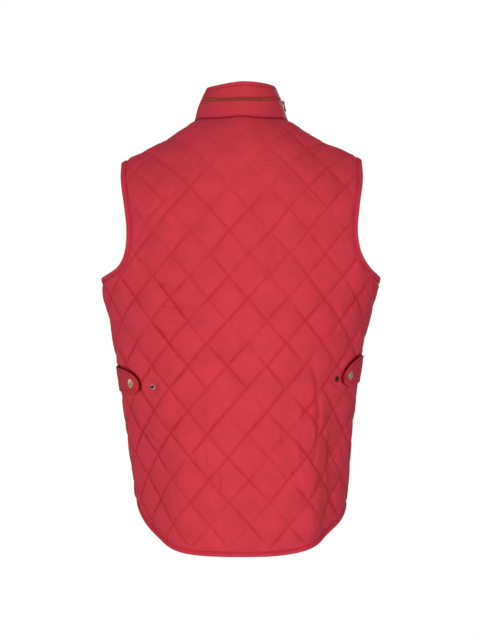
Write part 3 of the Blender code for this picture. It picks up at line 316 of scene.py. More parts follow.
def shoulder_drop(x):
    along_shoulder = np.clip((np.abs(x) - NECK_HALF_WIDTH) / (SHOULDER_TIP - NECK_HALF_WIDTH), 0, 1)
    sag = SHOULDER_SAG * np.sin(math.pi * along_shoulder**0.75) ** 2
    lean = SHOULDER_LEAN * np.sin(math.pi / 2 * along_shoulder) * (x > 0)
    return np.sqrt(x * x + SHOULDER_ROUND**2) - SHOULDER_ROUND + sag + lean


# ---- The two halves of the body ------------------------------------------------------------------


class Half:
    """The back or the front half of the body. A place on it is (across, up), lengths on the flat cloth."""

    def __init__(self, depth_column, facing, folds, creases):
        self.depth_column = depth_column
        self.facing = facing
        self.folds = named_rows(folds, FOLD_COLUMNS)
        self.creases = np.array(creases, float) * MM
        self.turns = np.linspace(-math.pi / 2, math.pi / 2, 181)
        self.levels = np.linspace(0, TOP_LEVEL, 281)
        grid = self.middle(self.turns[None, :], self.levels[:, None])
        self.across_of_turn = self.lengths_round(grid)
        profile = self.middle(np.full(len(self.levels), math.radians(25)), self.levels)
        up = along(profile)
        self.up_of_level = up - np.interp(0, self.heights(0.0) - LEVELS["height"][WAIST_LEVEL], up)
        self.quilt_tables(grid)

    def lengths_round(self, grid):
        """The length round each level from its middle to each turn."""
        steps = np.linalg.norm(np.diff(grid, axis=1), axis=2)
        gone = np.concatenate([np.zeros((len(self.levels), 1)), np.cumsum(steps, axis=1)], axis=1)
        return gone - gone[:, [len(self.turns) // 2]]

    def quilt_tables(self, grid):
        """The quilting's own two lengths at each turn of each level."""
        self.quilt_across = self.lengths_round(grid[..., :2])
        widths, depths = of_level("half_width", self.levels), of_level(self.depth_column, self.levels)
        slices = np.linspace(0, 0.999 * widths[self.levels >= UNDERARM_LEVEL].min(), 60)
        y = depths[:, None] * np.sqrt(np.clip(1 - (slices / widths[:, None]) ** 2, 0, 1))
        z = self.heights(slices[:, None]).T
        rise = np.hypot(np.diff(y, axis=0), np.diff(z, axis=0))
        rise[self.levels[1:] <= UNDERARM_LEVEL] = 0
        risen = np.concatenate([np.zeros((1, len(slices))), np.cumsum(rise, axis=0)])
        to_underarm = np.interp(np.minimum(self.levels, UNDERARM_LEVEL), self.levels, self.up_of_level)
        from_middle = np.abs(widths[:, None] * np.sin(self.turns))
        above = np.array([np.interp(x, slices, row) for x, row in zip(from_middle, risen)])
        self.quilt_up = to_underarm[:, None] + above

    def heights(self, x):
        return of_level("height", self.levels) - of_level("slope", self.levels) * shoulder_drop(x)

    def level_at(self, heights):
        """The level that has these heights at the middle of this half."""
        return np.interp(heights, self.heights(0.0), self.levels)

    def middle(self, turn, level):
        """The point of the middle surface at a turn and a level."""
        width, depth = of_level("half_width", level), of_level(self.depth_column, level)
        x = width * np.sin(turn)
        y = self.facing * depth * np.cos(turn)
        z = of_level("height", level) - of_level("slope", level) * shoulder_drop(x)
        return np.stack(np.broadcast_arrays(x + of_level("sway", level), y, z), axis=-1)

    def normal(self, turn, level):
        nudge = 1e-4
        level = np.clip(level, nudge, TOP_LEVEL)
        right = self.middle(turn + nudge, level) - self.middle(turn - nudge, level)
        rise = self.middle(turn, level) - self.middle(turn, level - nudge)
        out = self.facing * np.cross(rise, right)
        out[..., 1] *= np.clip((TOP_LEVEL - level) / 0.2, 0, 1)
        return unit(out)

    def row_of(self, levels):
        """(row below, share of the way to the row above) of each level in the tables."""
        row = np.interp(levels, self.levels, np.arange(len(self.levels)))
        low = np.minimum(row.astype(int), len(self.levels) - 2)
        return low, row - low

    def column_of(self, turns):
        column = np.interp(turns, self.turns, np.arange(len(self.turns)))
        low = np.minimum(column.astype(int), len(self.turns) - 2)
        return low, column - low

    @staticmethod
    def between(table, row, row_share, column, column_share):
        below = table[row, column] * (1 - column_share) + table[row, column + 1] * column_share
        above = table[row + 1, column] * (1 - column_share) + table[row + 1, column + 1] * column_share
        return below * (1 - row_share) + above * row_share

    def spot(self, places):
        """(turn, level) of each (across, up)."""
        places = np.asarray(places, float)
        levels = np.interp(places[:, 1], self.up_of_level, self.levels)
        row, share = self.row_of(levels)

        def across(column):
            below, above = self.across_of_turn[row, column], self.across_of_turn[row + 1, column]
            return below * (1 - share) + above * share

        left, right = np.zeros(len(places), int), np.full(len(places), len(self.turns) - 1)
        for _ in range(8):
            halfway = (left + right) // 2
            beyond = across(halfway) <= places[:, 0]
            left, right = np.where(beyond, halfway, left), np.where(beyond, right, halfway)
        left = np.minimum(left, len(self.turns) - 2)
        low, high = across(left), across(left + 1)
        turn_share = np.clip((places[:, 0] - low) / (high - low), 0, 1)
        return self.turns[left] + turn_share * (self.turns[1] - self.turns[0]), levels

    def place(self, turns, levels):
        """(across, up) of each turn and level."""
        across = self.between(self.across_of_turn, *self.row_of(levels), *self.column_of(turns))
        return np.stack([across, np.interp(levels, self.levels, self.up_of_level)], axis=1)

    def quilt_lengths(self, places):
        turns, levels = self.spot(places)
        at = (*self.row_of(levels), *self.column_of(turns))
        lengths = np.stack([self.between(self.quilt_across, *at), self.between(self.quilt_up, *at)], axis=1)
        x, y = np.asarray(places).T
        stray = [noise(x / WANDER_SIZE, y / WANDER_SIZE, layer) for layer in WANDER_LAYERS]
        return lengths + WANDER * np.stack(stray, axis=1)

    def quilt_places(self, lengths):
        """The places that have these lengths of the quilting, and whether each was found on this half."""
        places = np.array(lengths, float)
        for _ in range(40):
            missed = lengths - self.quilt_lengths(places)
            places = places + 0.7 * missed
        return places, np.linalg.norm(missed, axis=1) < 0.3 * MM

    def fold_height(self, across, height):
        lift = np.zeros(len(across))
        for fold in self.folds:
            crest = bump(fold["across"], fold["width"], across)
            ends = ease(fold["top"] + 0.02, fold["top"] - 0.14, height)
            if fold["bottom"] > HEM_BACK:
                ends = ends * ease(fold["bottom"] - 0.02, fold["bottom"] + 0.10, height)
            lift += fold["height"] * crest * ends
        return lift

    def crease_height(self, x, z):
        """How far the creases lift the cloth, seen straight on."""
        lift = np.zeros(len(x))
        for x0, z0, x1, z1, width, height in self.creases:
            step = np.array([x1 - x0, z1 - z0])
            share = np.clip(((x - x0) * step[0] + (z - z0) * step[1]) / (step @ step), 0, 1)
            bow = 0.07 * np.linalg.norm(step) * np.sin(math.pi * share) * (1 if height > 0 else -1)
            side = step[::-1] * [-1, 1] / np.linalg.norm(step)
            off_x, off_z = x - x0 - share * step[0] - bow * side[0], z - z0 - share * step[1] - bow * side[1]
            crest = height * bump(0, width, np.hypot(off_x, off_z))
            lift += crest * (0.15 + 0.85 * np.sin(math.pi * share) ** 0.7)
        return lift

    def points(self, places, lift, creased=None):
        """The points at these places, moved out by `lift`, with a share `creased` of the creases."""
        turns, levels = self.spot(places)
        middle, out = self.middle(turns, levels), self.normal(turns, levels)
        to_seam = np.clip((math.pi / 2 - np.abs(turns)) / math.radians(16), 0, 1)
        lift = lift + self.fold_height(np.asarray(places)[:, 0], middle[:, 2]) * to_seam
        if creased is not None:
            lift = lift + self.crease_height(middle[:, 0], middle[:, 2]) * to_seam * creased
        return middle + out * lift[:, None], out

    def place_at(self, x, z):
        found = []
        for one_x, one_z in zip(x, z):
            level = np.interp(one_z, self.heights(one_x), self.levels)
            width, sway = of_level("half_width", level), of_level("sway", level)
            found.append((math.asin(np.clip((one_x - sway) / width, -1, 1)), float(level)))
        turns, levels = np.array(found).T
        return self.place(turns, levels)

    def place_on_neck(self, turn):
        x, y = neck_column(turn)
        levels = self.levels[self.levels >= BLADE_LEVEL]
        width, depth = of_level("half_width", levels), of_level(self.depth_column, levels)
        found = []
        for one_x, one_y in zip(x, y):
            reach = depth * np.sqrt(1 - (one_x / width) ** 2)
            level = np.interp(-abs(one_y), -reach, levels)
            found.append((math.asin(one_x / of_level("half_width", level)), level))
        turns, levels = np.array(found).T
        return self.place(turns, levels)


def neck_column(turn):
    middle, reach = (NECK_BACK + NECK_FRONT) / 2, (NECK_BACK - NECK_FRONT) / 2
    behind = np.maximum(np.cos(turn), 0) ** NECK_FLATNESS
    return NECK_HALF_WIDTH * np.sin(turn), middle + reach * (behind + np.minimum(np.cos(turn), 0))


SIDE_NECK_TURN = math.acos((-(NECK_BACK + NECK_FRONT) / (NECK_BACK - NECK_FRONT)) ** (1 / NECK_FLATNESS))
BACK = Half("back", +1, BACK_FOLDS, BACK_CREASES)
FRONT = Half("front", -1, FRONT_FOLDS, FRONT_CREASES)


# ---- The outlines of the panels, on the flat cloth -----------------------------------------------


def hem_run(half, lowest, turns):
    top, arch = (np.where(turns > 0, left, right) for left, right in zip(HEM_SIDES[1], HEM_SIDES[-1]))
    along_corner = np.clip((np.abs(turns) - HEM_CORNER_START) / (math.pi / 2 - HEM_CORNER_START), 0, 1)
    corner = np.where(turns > 0, *HEM_CORNERS) * np.sin(math.pi * along_corner) ** 2
    heights = lowest + (top - lowest) * np.abs(np.sin(turns)) ** arch - corner
    return half.place(turns, half.level_at(heights))


def side_run(half, side):
    bottom, top = half.level_at(HEM_SIDES[side][0]), half.level_at(ARMHOLE[-1][1])
    return half.place(np.full(60, side * math.pi / 2), np.linspace(bottom, top, 60))


def armhole_run(half, side):
    shape = columns(ARMHOLE, ARMHOLE_COLUMNS)
    rows = np.linspace(len(ARMHOLE) - 1, 0, 90)
    x, z = smooth(shape[half.depth_column], rows), smooth(shape["height"], rows)
    lowered = LEVELS["slope"][-1] * (shoulder_drop(side * SHOULDER_TIP) - shoulder_drop(-SHOULDER_TIP))
    z = z - lowered * ease(-0.14, ARMHOLE[0][1], z)
    places = half.place_at(side * x - smooth(shape["stray"], rows), z)
    places[0] = side_run(half, side)[-1]
    places[-1] = shoulder_run(half, side)[0]
    return places


def shoulder_run(half, side):
    x = np.linspace(SHOULDER_TIP, NECK_HALF_WIDTH * math.sin(SIDE_NECK_TURN), 30)
    turns = side * np.arcsin(x / LEVELS["half_width"][-1])
    return half.place(turns, np.full(30, float(TOP_LEVEL)))


def neck_run(half, first, last):
    return half.place_on_neck(np.linspace(first, last, 80))


def inward_of(run):
    """The direction into the cloth at each point of a run that has the cloth on its left."""
    return unit(np.gradient(run, axis=0)[:, ::-1] * [-1, 1])


class Run:
    """One edge of a panel, anticlockwise on the flat cloth. `flat` is the width that a binding covers."""

    def __init__(self, places, flat=0.0):
        self.flat = flat
        self.places = resample(places, EDGE_STEP)


def outline_of(runs):
    return np.concatenate([run.places[:-1] for run in runs.values()])


def back_runs():
    quarter = math.pi / 2
    return {
        "hem": Run(hem_run(BACK, HEM_BACK, np.linspace(-quarter, quarter, 200)), HEM_BINDING),
        "side_left": Run(side_run(BACK, 1)),
        "armhole_left": Run(armhole_run(BACK, 1), ARMHOLE_BINDING),
        "shoulder_left": Run(shoulder_run(BACK, 1)),
        "neck": Run(neck_run(BACK, SIDE_NECK_TURN, -SIDE_NECK_TURN)),
        "shoulder_right": Run(shoulder_run(BACK, -1)[::-1]),
        "armhole_right": Run(armhole_run(BACK, -1)[::-1], ARMHOLE_BINDING),
        "side_right": Run(side_run(BACK, -1)[::-1]),
    }


def front_runs(side):
    edge_turn = math.asin(ZIP_HALF_GAP / LEVELS["half_width"][1])
    hem = hem_run(FRONT, HEM_FRONT, side * np.linspace(edge_turn, math.pi / 2, 110))
    zip_turn = math.pi - math.asin(ZIP_HALF_GAP / NECK_HALF_WIDTH)
    neck = neck_run(FRONT, side * SIDE_NECK_TURN, side * zip_turn)
    runs = {
        "hem": (hem, HEM_BINDING),
        "side": (side_run(FRONT, side), 0.0),
        "armhole": (armhole_run(FRONT, side), ARMHOLE_BINDING),
        "shoulder": (shoulder_run(FRONT, side), 0.0),
        "neck": (neck, 0.0),
        "centre": (np.linspace(neck[-1], hem[0], 60), 0.0),
    }
    if side > 0:
        return {name: Run(places, flat) for name, (places, flat) in runs.items()}
    return {name: Run(places[::-1], flat) for name, (places, flat) in reversed(list(runs.items()))}


# ---- Meshes --------------------------------------------------------------------------------------


def linked(name, data):
    """A new object of a mesh, a light or a camera, in the scene."""
    made = bpy.data.objects.new(name, data)
    bpy.context.scene.collection.objects.link(made)
    return made


def new_piece(name, vertices, faces, material, slot, replaces=(), cloth=None, painted_shade=None, sharp=None):
    """One object from arrays, on the garment's body.

    `cloth` is each point's place on the flat cloth, and the painted-shade weight of each point is how far its
    colour is darkened as painted shade: along seams, stitched lines and edges, and as a painted shadow beside
    the tabs.
    """
    mesh = bpy.data.meshes.new(name)
    vertices = np.asarray(vertices, np.float32)
    faces = [np.asarray(group, int) for group in faces if len(group)]
    corners = np.concatenate([group.ravel() for group in faces])
    sizes = np.concatenate([np.full(len(group), group.shape[1]) for group in faces])
    mesh.vertices.add(len(vertices))
    mesh.vertices.foreach_set("co", vertices.ravel())
    mesh.loops.add(len(corners))
    mesh.loops.foreach_set("vertex_index", corners.astype(np.int32))
    mesh.polygons.add(len(sizes))
    mesh.polygons.foreach_set("loop_start", (np.cumsum(sizes) - sizes).astype(np.int32))
    mesh.update(calc_edges=True)
    if enclosed(vertices, faces) < 0:
        mesh.flip_normals()
    mesh.validate()
    mesh.shade_smooth()
    if sharp:
        mesh.set_sharp_from_angle(angle=math.radians(sharp))
    if cloth is not None:
        indices = np.empty(len(mesh.loops), np.int32)
        mesh.loops.foreach_get("vertex_index", indices)
        layer = mesh.uv_layers.new(name="cloth")
        layer.uv.foreach_set("vector", np.asarray(cloth, np.float32)[indices].ravel())
    # painted shade: a weight on each point that the cloth materials read to darken the colour where shade
    # falls
    if painted_shade is not None:
        mesh.attributes.new("painted_shade", "FLOAT", "POINT").data.foreach_set("value", np.asarray(painted_shade, np.float32))
    mesh.materials.append(material)
    piece = linked(name, mesh)
    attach(piece, "garment")
    if replaces:
        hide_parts(*replaces)
    return piece


def enclosed(vertices, faces):
    """The volume inside a closed surface, negative if its faces look inwards."""
    volume = 0.0
    for group in faces:
        first = vertices[group[:, 0]]
        for i in range(1, group.shape[1] - 1):
            volume += (first * np.cross(vertices[group[:, i]], vertices[group[:, i + 1]])).sum()
    return volume / 6


def ring_faces(count, size, closed):
    """The four-cornered faces between `count` rings of `size` points, in order."""
    ring = np.arange(count if closed else count - 1)[:, None]
    after, spot = (ring + 1) % count, np.arange(size)[None, :]
    beside = (spot + 1) % size
    corners = [ring * size + spot, after * size + spot, after * size + beside, ring * size + beside]
    return np.stack(corners, axis=-1).reshape(-1, 4)


def tube(rings, closed=False):
    """(points, faces) of a tube through rings of equal length, capped where it is open."""
    count, size = rings.shape[:2]
    faces = [ring_faces(count, size, closed)]
    if not closed:
        faces += [np.arange(size)[None, :], (count - 1) * size + np.arange(size)[None, ::-1]]
    return rings.reshape(-1, 3), faces


def repeated(shape, faces, origins, axes):
    """The shape put at every origin. axes[i] holds the directions of its x, y and z there."""
    points = origins[:, None, :] + np.einsum("vk,nkj->nvj", shape, axes)
    offsets = (np.arange(len(origins)) * len(shape))[:, None, None]
    copies = [(np.asarray(group)[None] + offsets).reshape(-1, np.shape(group)[1]) for group in faces]
    return points.reshape(-1, 3), copies


def joined(parts):
    """Several (points, faces) as one."""
    points, faces, offset = [], [], 0
    for part_points, part_faces in parts:
        points.append(part_points)
        faces += [np.asarray(group) + offset for group in part_faces]
        offset += len(part_points)
    return np.concatenate(points), faces


# ---- Stitches ------------------------------------------------------------------------------------
STITCH_LENGTH, STITCH_WIDTH, STITCH_HEIGHT, STITCH_PITCH = 2.35 * MM, 0.46 * MM, 0.30 * MM, 2.9 * MM


def stitch_shape():
    """One stitch lying along x, its ends sunk into the cloth."""
    rings = []
    for x, size, sunk in ((-0.5, 0.45, 0.55), (0.0, 1.0, 0.0), (0.5, 0.45, 0.55)):
        section = np.array([(0, 1, 0), (0, 0, 1), (0, -1, 0), (0, 0, -1)], float)
        section *= [1, size * STITCH_WIDTH / 2, size * STITCH_HEIGHT / 2 + 0.05 * MM]
        rings.append(section + [x * STITCH_LENGTH, 0, (0.25 - sunk) * STITCH_HEIGHT])
    return tube(np.array(rings))


def stitches(lines):
    """Stitches along lines of points. Each line is (points, outward directions)."""
    origins, axes = [], []
    for points, out in lines:
        gone = along(points)
        count = int((gone[-1] - 1.0 * MM) / STITCH_PITCH)
        if count < 1:
            continue
        middle = (np.arange(count) + 0.5) * gone[-1] / count
        here, up = read_at(middle, gone, points), unit(read_at(middle, gone, out))
        ahead, behind = (read_at(middle + step, gone, points) for step in (0.6 * MM, -0.6 * MM))
        forward = unit(ahead - behind)
        aside = unit(np.cross(up, forward))
        wander = 0.10 * MM * noise(middle / (4 * MM), len(origins) * 3.3, 5)
        origins.append(here + aside * wander[:, None])
        axes.append(np.stack([forward, aside, np.cross(forward, aside)], axis=1))
    return repeated(*stitch_shape(), np.concatenate(origins), np.concatenate(axes))


# ---- Quilting ------------------------------------------------------------------------------------


def lattice_start(half):
    across, height = DIAMOND_START
    return across, np.interp(height, half.heights(0.0), half.up_of_level)


def diamond_shares(half, places):
    across, up = lattice_start(half)
    lengths = half.quilt_lengths(places)
    wide = (lengths[:, 0] - across) / DIAMOND_WIDTH
    high = (lengths[:, 1] - up) / DIAMOND_HEIGHT
    return wide + high, wide - high


def lattice_lengths(half, rising, falling):
    """The quilting's two lengths where its lines of these numbers cross."""
    across, up = lattice_start(half)
    wide, tall = (rising + falling) / 2, (rising - falling) / 2
    return np.stack([across + wide * DIAMOND_WIDTH, up + tall * DIAMOND_HEIGHT], axis=1)


def lattice_points(half, steps, low, high):
    """Places between two corners, in line with the quilting and `steps` to the side of a diamond."""
    reach = int(2 * steps * (high - low).max() / DIAMOND_WIDTH) + 2
    numbers = np.arange(-reach, reach)
    rising, falling = (grid.ravel() / steps for grid in np.meshgrid(numbers, numbers))
    lengths = lattice_lengths(half, rising, falling)
    near = ((lengths > low - DIAMOND_HEIGHT) & (lengths < high + DIAMOND_HEIGHT)).all(axis=1)
    places, found = half.quilt_places(lengths[near])
    return places[found & ((places > low) & (places < high)).all(axis=1)]


def distance_to(line, places, reach=30 * MM):
    """The distance from each place to a line of straight pieces, or `reach` where it is further."""
    start, step = line[:-1], np.diff(line, axis=0)
    away = np.full(len(places), reach)
    low, high = line.min(axis=0) - reach, line.max(axis=0) + reach
    near = ((places > low) & (places < high)).all(axis=1).nonzero()[0]
    for part in np.array_split(near, len(near) // 8000 + 1):
        gap = places[part][:, None, :] - start[None]
        share = np.clip((gap * step).sum(2) / (step * step).sum(1), 0, 1)
        away[part] = np.minimum(reach, np.linalg.norm(gap - share[..., None] * step, axis=2).min(axis=1))
    return away


def inside(outline, places):
    ax, ay = outline.T
    bx, by = np.roll(outline, -1, axis=0).T
    found = []
    for part in np.array_split(places, len(places) // 8000 + 1):
        x, y = part[:, 0][:, None], part[:, 1][:, None]
        with np.errstate(divide="ignore", invalid="ignore"):
            left = x < (bx - ax) * (y - ay) / (by - ay) + ax
        found.append((((ay > y) != (by > y)) & left).sum(axis=1) % 2 == 1)
    return np.concatenate(found)


def triangulated(outline, loose, clearance):
    """Triangles over an outline and the loose places that keep clear of it."""
    closed = np.concatenate([outline, outline[:1]])
    kept = loose[inside(outline, loose)]
    kept = kept[distance_to(closed, kept) > clearance]
    count = len(outline)
    places = np.concatenate([outline, kept])
    edges = [(i, (i + 1) % count) for i in range(count)]
    found = geometry.delaunay_2d_cdt([Vector(place) for place in places], edges, [], 1, 1e-7)
    order = np.array([min(source) for source in found[3]])
    return places, order[np.array(found[2])]


def tautness(half, places):
    """How full the quilting stands: flatter across the shoulders, and fuller low at the sides of the back."""
    x, _, z = half.middle(*half.spot(places)).T
    if half is FRONT:
        return 1 - 0.45 * bump(0, 0.11, x) * bump(-0.04, 0.08, z)
    yoke = 0.75 * bump(0.005, 0.085, x) * ease(-0.20, -0.06, z)
    yoke = yoke + 0.25 * bump(0.14, 0.05, x) * bump(-0.11, 0.05, z)
    blade = 0.25 * bump(-0.10, 0.07, x) * bump(-0.16, 0.07, z)
    sides = 0.35 * ease(0.06, 0.15, np.abs(x)) * ease(-0.20, -0.32, z) * (0.6 + 0.55 * (x > 0))
    return 1 - yoke - blade + sides


def quilting(half, places, layer):
    """(how far the quilting lifts the outer cloth, how much painted shade darkens it along the stitched
    lines) at each place.
    """
    rising, falling = diamond_shares(half, places)
    plump = 0.87 + 0.13 * noise(np.floor(rising) * 5.3 + 0.5, np.floor(falling) * 7.1 + 0.5, layer)
    kept, line_shade, puckers = np.ones(len(places)), np.zeros(len(places)), np.zeros(len(places))
    for number, (over, run) in enumerate(((rising, falling), (falling, rising))):
        line = np.round(over)
        side = np.sign(over - line)
        away = np.abs(over - line) * LINE_GAP
        gone = run * DIAMOND_SIDE
        pull = np.clip(0.76 + 0.58 * noise(gone / 0.045, 9.1 * line + 4.3 * number, layer + 2), 0.25, 1)
        valley = 1 - np.abs(np.sin(math.pi * over)) ** 0.62
        kept = kept * (1 - pull * valley)
        lean = 0.3 * away * side
        wave = noise((gone + lean) / PUCKER_LENGTH + 11.3 * line, 3.7 * line + 0.9 * side, layer + 1)
        held = (1 - np.exp(-away / (1.5 * MM))) * np.exp(-away / PUCKER_REACH)
        puckers = puckers + PUCKER * (0.35 + 0.65 * pull) * wave * held
        # painted shade along each stitched line, darker where the line is pulled in harder
        line_shade = np.maximum(line_shade, pull * np.exp(-away / (1.5 * MM)) * (0.8 + 0.2 * wave))
    x, y = places.T
    soft = 0.5 * MM * noise(x / 0.026, y / 0.026, layer + 3)
    soft = soft + 0.22 * MM * noise(x / 0.010, y / 0.010, layer + 4)
    return np.maximum(PUFF * plump * kept + puckers + soft * kept, 0), line_shade


def margins(runs, places):
    """(distance to a plain seam, share of full height left by all edges, distance to a binding)."""
    seam, share = np.full(len(places), 30 * MM), np.ones(len(places))
    bound = np.full(len(places), 30 * MM)
    for run in runs.values():
        away = distance_to(run.places, places)
        if run.flat:
            bound = np.minimum(bound, np.abs(away - run.flat))
        start = run.flat if run.flat else 1.5 * MM
        share = np.minimum(share, ease(start, start + (11 * MM if run.flat else PUFF_RISE), away) ** 0.8)
        if not run.flat:
            seam = np.minimum(seam, away)
    return seam, share, bound


def pressed(half, places):
    """(share of the quilting's height left beside the edges of the tabs, how dark the painted shadow of the
    tabs is there).
    """
    kept, tab_shadow = np.ones(len(places)), np.zeros(len(places))
    for tab in named_rows(TABS, TAB_COLUMNS) if half is BACK else ():
        shares = tab_shares(0.02, 24, 14)
        edge, spine = tab_place(tab, *tab_outline(tab, shares)), tab_place(tab, shares * tab["length"], 0.0)
        inwards, spine_inwards = -tab["side"] * places[:, 0], -tab["side"] * spine[:, 0]
        away = distance_to(edge, places, 20 * MM)
        out = np.where(inside(edge, places), -away, away)
        below = np.interp(inwards, spine_inwards, spine[:, 1]) - places[:, 1]
        from_seam = np.interp(inwards, spine_inwards, shares) * tab["length"]
        above = ease(17 * MM, 5 * MM, below)
        kept = kept * (1 - 0.9 * bump(0.9 * MM, 3.0 * MM, out) * above * ease(0, 24 * MM, from_seam))
        above = above * (0.65 + 0.35 * ease(0, 30 * MM, from_seam))
        # painted shadow of each tab on the quilting, along its upper edge and round its tip
        dark = 0.9 * bump(-0.5 * MM, 2.0 * MM, out) + 0.4 * bump(1 * MM, 4.0 * MM, out)
        tab_shadow = np.maximum(tab_shadow, dark * above)
    return kept, np.minimum(tab_shadow, 1)


def closing(seam):
    """The share of its thickness that a wall keeps at this distance from a plain seam."""
    return 0.12 + 0.88 * ease(-0.4 * MM, 2.6 * MM, seam)


def quilted_panel(node, half, runs, layer, spots=()):
    """A wall cut to its edges, with the diamonds raised on its outer face, and the threads that hold them."""
    outline = outline_of(runs)
    low, high = outline.min(axis=0), outline.max(axis=0)
    outer_places, outer_faces = triangulated(outline, lattice_points(half, OUTER_STEPS, low, high), 1.3 * MM)
    inner_places, inner_faces = triangulated(outline, lattice_points(half, INNER_STEPS, low, high), 3 * MM)

    seam, share, bound = margins(runs, outer_places)
    height, line_shade = quilting(half, outer_places, layer)
    for centre, radius in spots:
        away = np.linalg.norm(outer_places - centre, axis=1)
        share = share * ease(radius + 0.1 * MM, radius + 14 * MM, away)
    kept, tab_shadow = pressed(half, outer_places)
    taut = tautness(half, outer_places) * kept
    lift = (HALF_WALL + height * share * taut) * closing(seam)
    outer, _ = half.points(outer_places, lift, ease(0, 12 * MM, seam) * share)

    inner_seam, inner_share, _ = margins(runs, inner_places)
    rising, falling = diamond_shares(half, inner_places)
    puffed = INNER_PUFF * np.abs(np.sin(math.pi * rising) * np.sin(math.pi * falling)) ** 0.6 * inner_share
    inner, _ = half.points(inner_places, -(HALF_WALL + puffed) * closing(inner_seam))

    count, first_inner = len(outline), len(outer)
    rim = np.arange(count)
    after = (rim + 1) % count
    faces = [
        outer_faces,
        first_inner + inner_faces[:, ::-1],
        np.stack([rim, first_inner + rim, first_inner + after, after], axis=1),
    ]
    # Painted shade on the outer cloth: along the plain seams and the inner edges of the bindings, along the
    # stitched lines, and twice the painted shadow of the tabs.
    edges = np.maximum(bump(0, 1.8 * MM, seam), bump(0, 1.3 * MM, bound))
    near = np.maximum(line_shade * share * taut, edges) + 2 * tab_shadow
    piece = new_piece(
        node + "_cloth", np.concatenate([outer, inner]), faces, QUILTED_CLOTH, "quilted_cloth",
        replaces=(node,), cloth=np.concatenate([outer_places, inner_places]),
        painted_shade=np.concatenate([near, np.zeros(len(inner))]),
    )
    thread = quilting_thread(half, runs, outline, spots, layer)
    new_piece(node + "_cloth_quilting_thread", *thread, THREAD, "quilted_cloth")


def quilting_thread(half, runs, outline, spots, layer):
    """The stitches along every line of the quilting that lies on this panel."""
    low, high = outline.min(axis=0), outline.max(axis=0)
    corners = np.array([low, high, [low[0], high[1]], [high[0], low[1]]])
    shares = np.array(diamond_shares(half, corners))
    first, last = int(shares.min()) - 6, int(shares.max()) + 6
    run = np.arange(first * DIAMOND_SIDE, last * DIAMOND_SIDE, 2.4 * MM) / DIAMOND_SIDE
    lines = []
    for family in (0, 1):
        for line in range(first, last):
            fixed = np.full(len(run), float(line))
            numbers = (fixed, run) if family == 0 else (run, fixed)
            places, found = half.quilt_places(lattice_lengths(half, *numbers))
            kept = found & inside(outline, places)
            if not kept.any():
                continue
            for edge in runs.values():
                kept &= distance_to(edge.places, places) > (edge.flat or 0.4 * MM) + 0.6 * MM
            for centre, radius in spots:
                kept &= np.linalg.norm(places - centre, axis=1) > radius - 1 * MM
            for part in np.split(np.arange(len(run)), np.nonzero(np.diff(kept.astype(int)))[0] + 1):
                if kept[part[0]] and len(part) > 2:
                    lines.append(on_panel(half, runs, places[part], layer, 0.02 * MM))
    return stitches(lines)


def on_panel(half, runs, places, layer, over):
    """(points, outward directions) on a panel's outer face."""
    seam, share, _ = margins(runs, places)
    height, _ = quilting(half, places, layer)
    taut = tautness(half, places) * pressed(half, places)[0]
    lift = (HALF_WALL + height * share * taut) * closing(seam) + over
    return half.points(places, lift, ease(0, 12 * MM, seam) * share)


# ---- Bindings ------------------------------------------------------------------------------------


def binding_profile(width):
    """The folded tape seen end on, as (in from the edge, out from the middle surface)."""
    outside_face = ON_WALL + BINDING_CLOTH
    insets = width - np.array([0.0, 0.12, 0.45, 0.9, 1.3, 1.7, 2.1, 2.6, 3.4]) * MM
    rest = width - 4.4 * MM
    insets = np.concatenate([insets, np.linspace(rest, 0, max(3, round(rest / (1.1 * MM))))])
    lifts = outside_face + 0.22 * MM * np.sin(math.pi * insets / width)
    lifts = lifts - 0.42 * MM * bump(width - BINDING_STITCH, 0.42 * MM, insets)
    lifts[0] = ON_WALL + 0.1 * MM
    lifts[1] = outside_face - 0.18 * MM
    angles = np.radians(np.linspace(75, -75, 7))
    fold = [(-(SEAM_GAP + BINDING_CLOTH) * math.cos(a), outside_face * math.sin(a)) for a in angles]
    behind = [(0.0, -outside_face), (width / 2, -outside_face), (width, -outside_face)]
    under = [(width, -ON_WALL), (-SEAM_GAP, -ON_WALL), (-SEAM_GAP, ON_WALL), (width, ON_WALL)]
    return np.array(list(zip(insets, lifts)) + fold + behind + under)


def edge_stations(half, run, start_inward=None, end_inward=None):
    directions = inward_of(run.places)
    if start_inward is not None:
        directions[0] = start_inward
    if end_inward is not None:
        directions[-1] = end_inward
    return [(half, place, inward) for place, inward in zip(run.places, directions)]


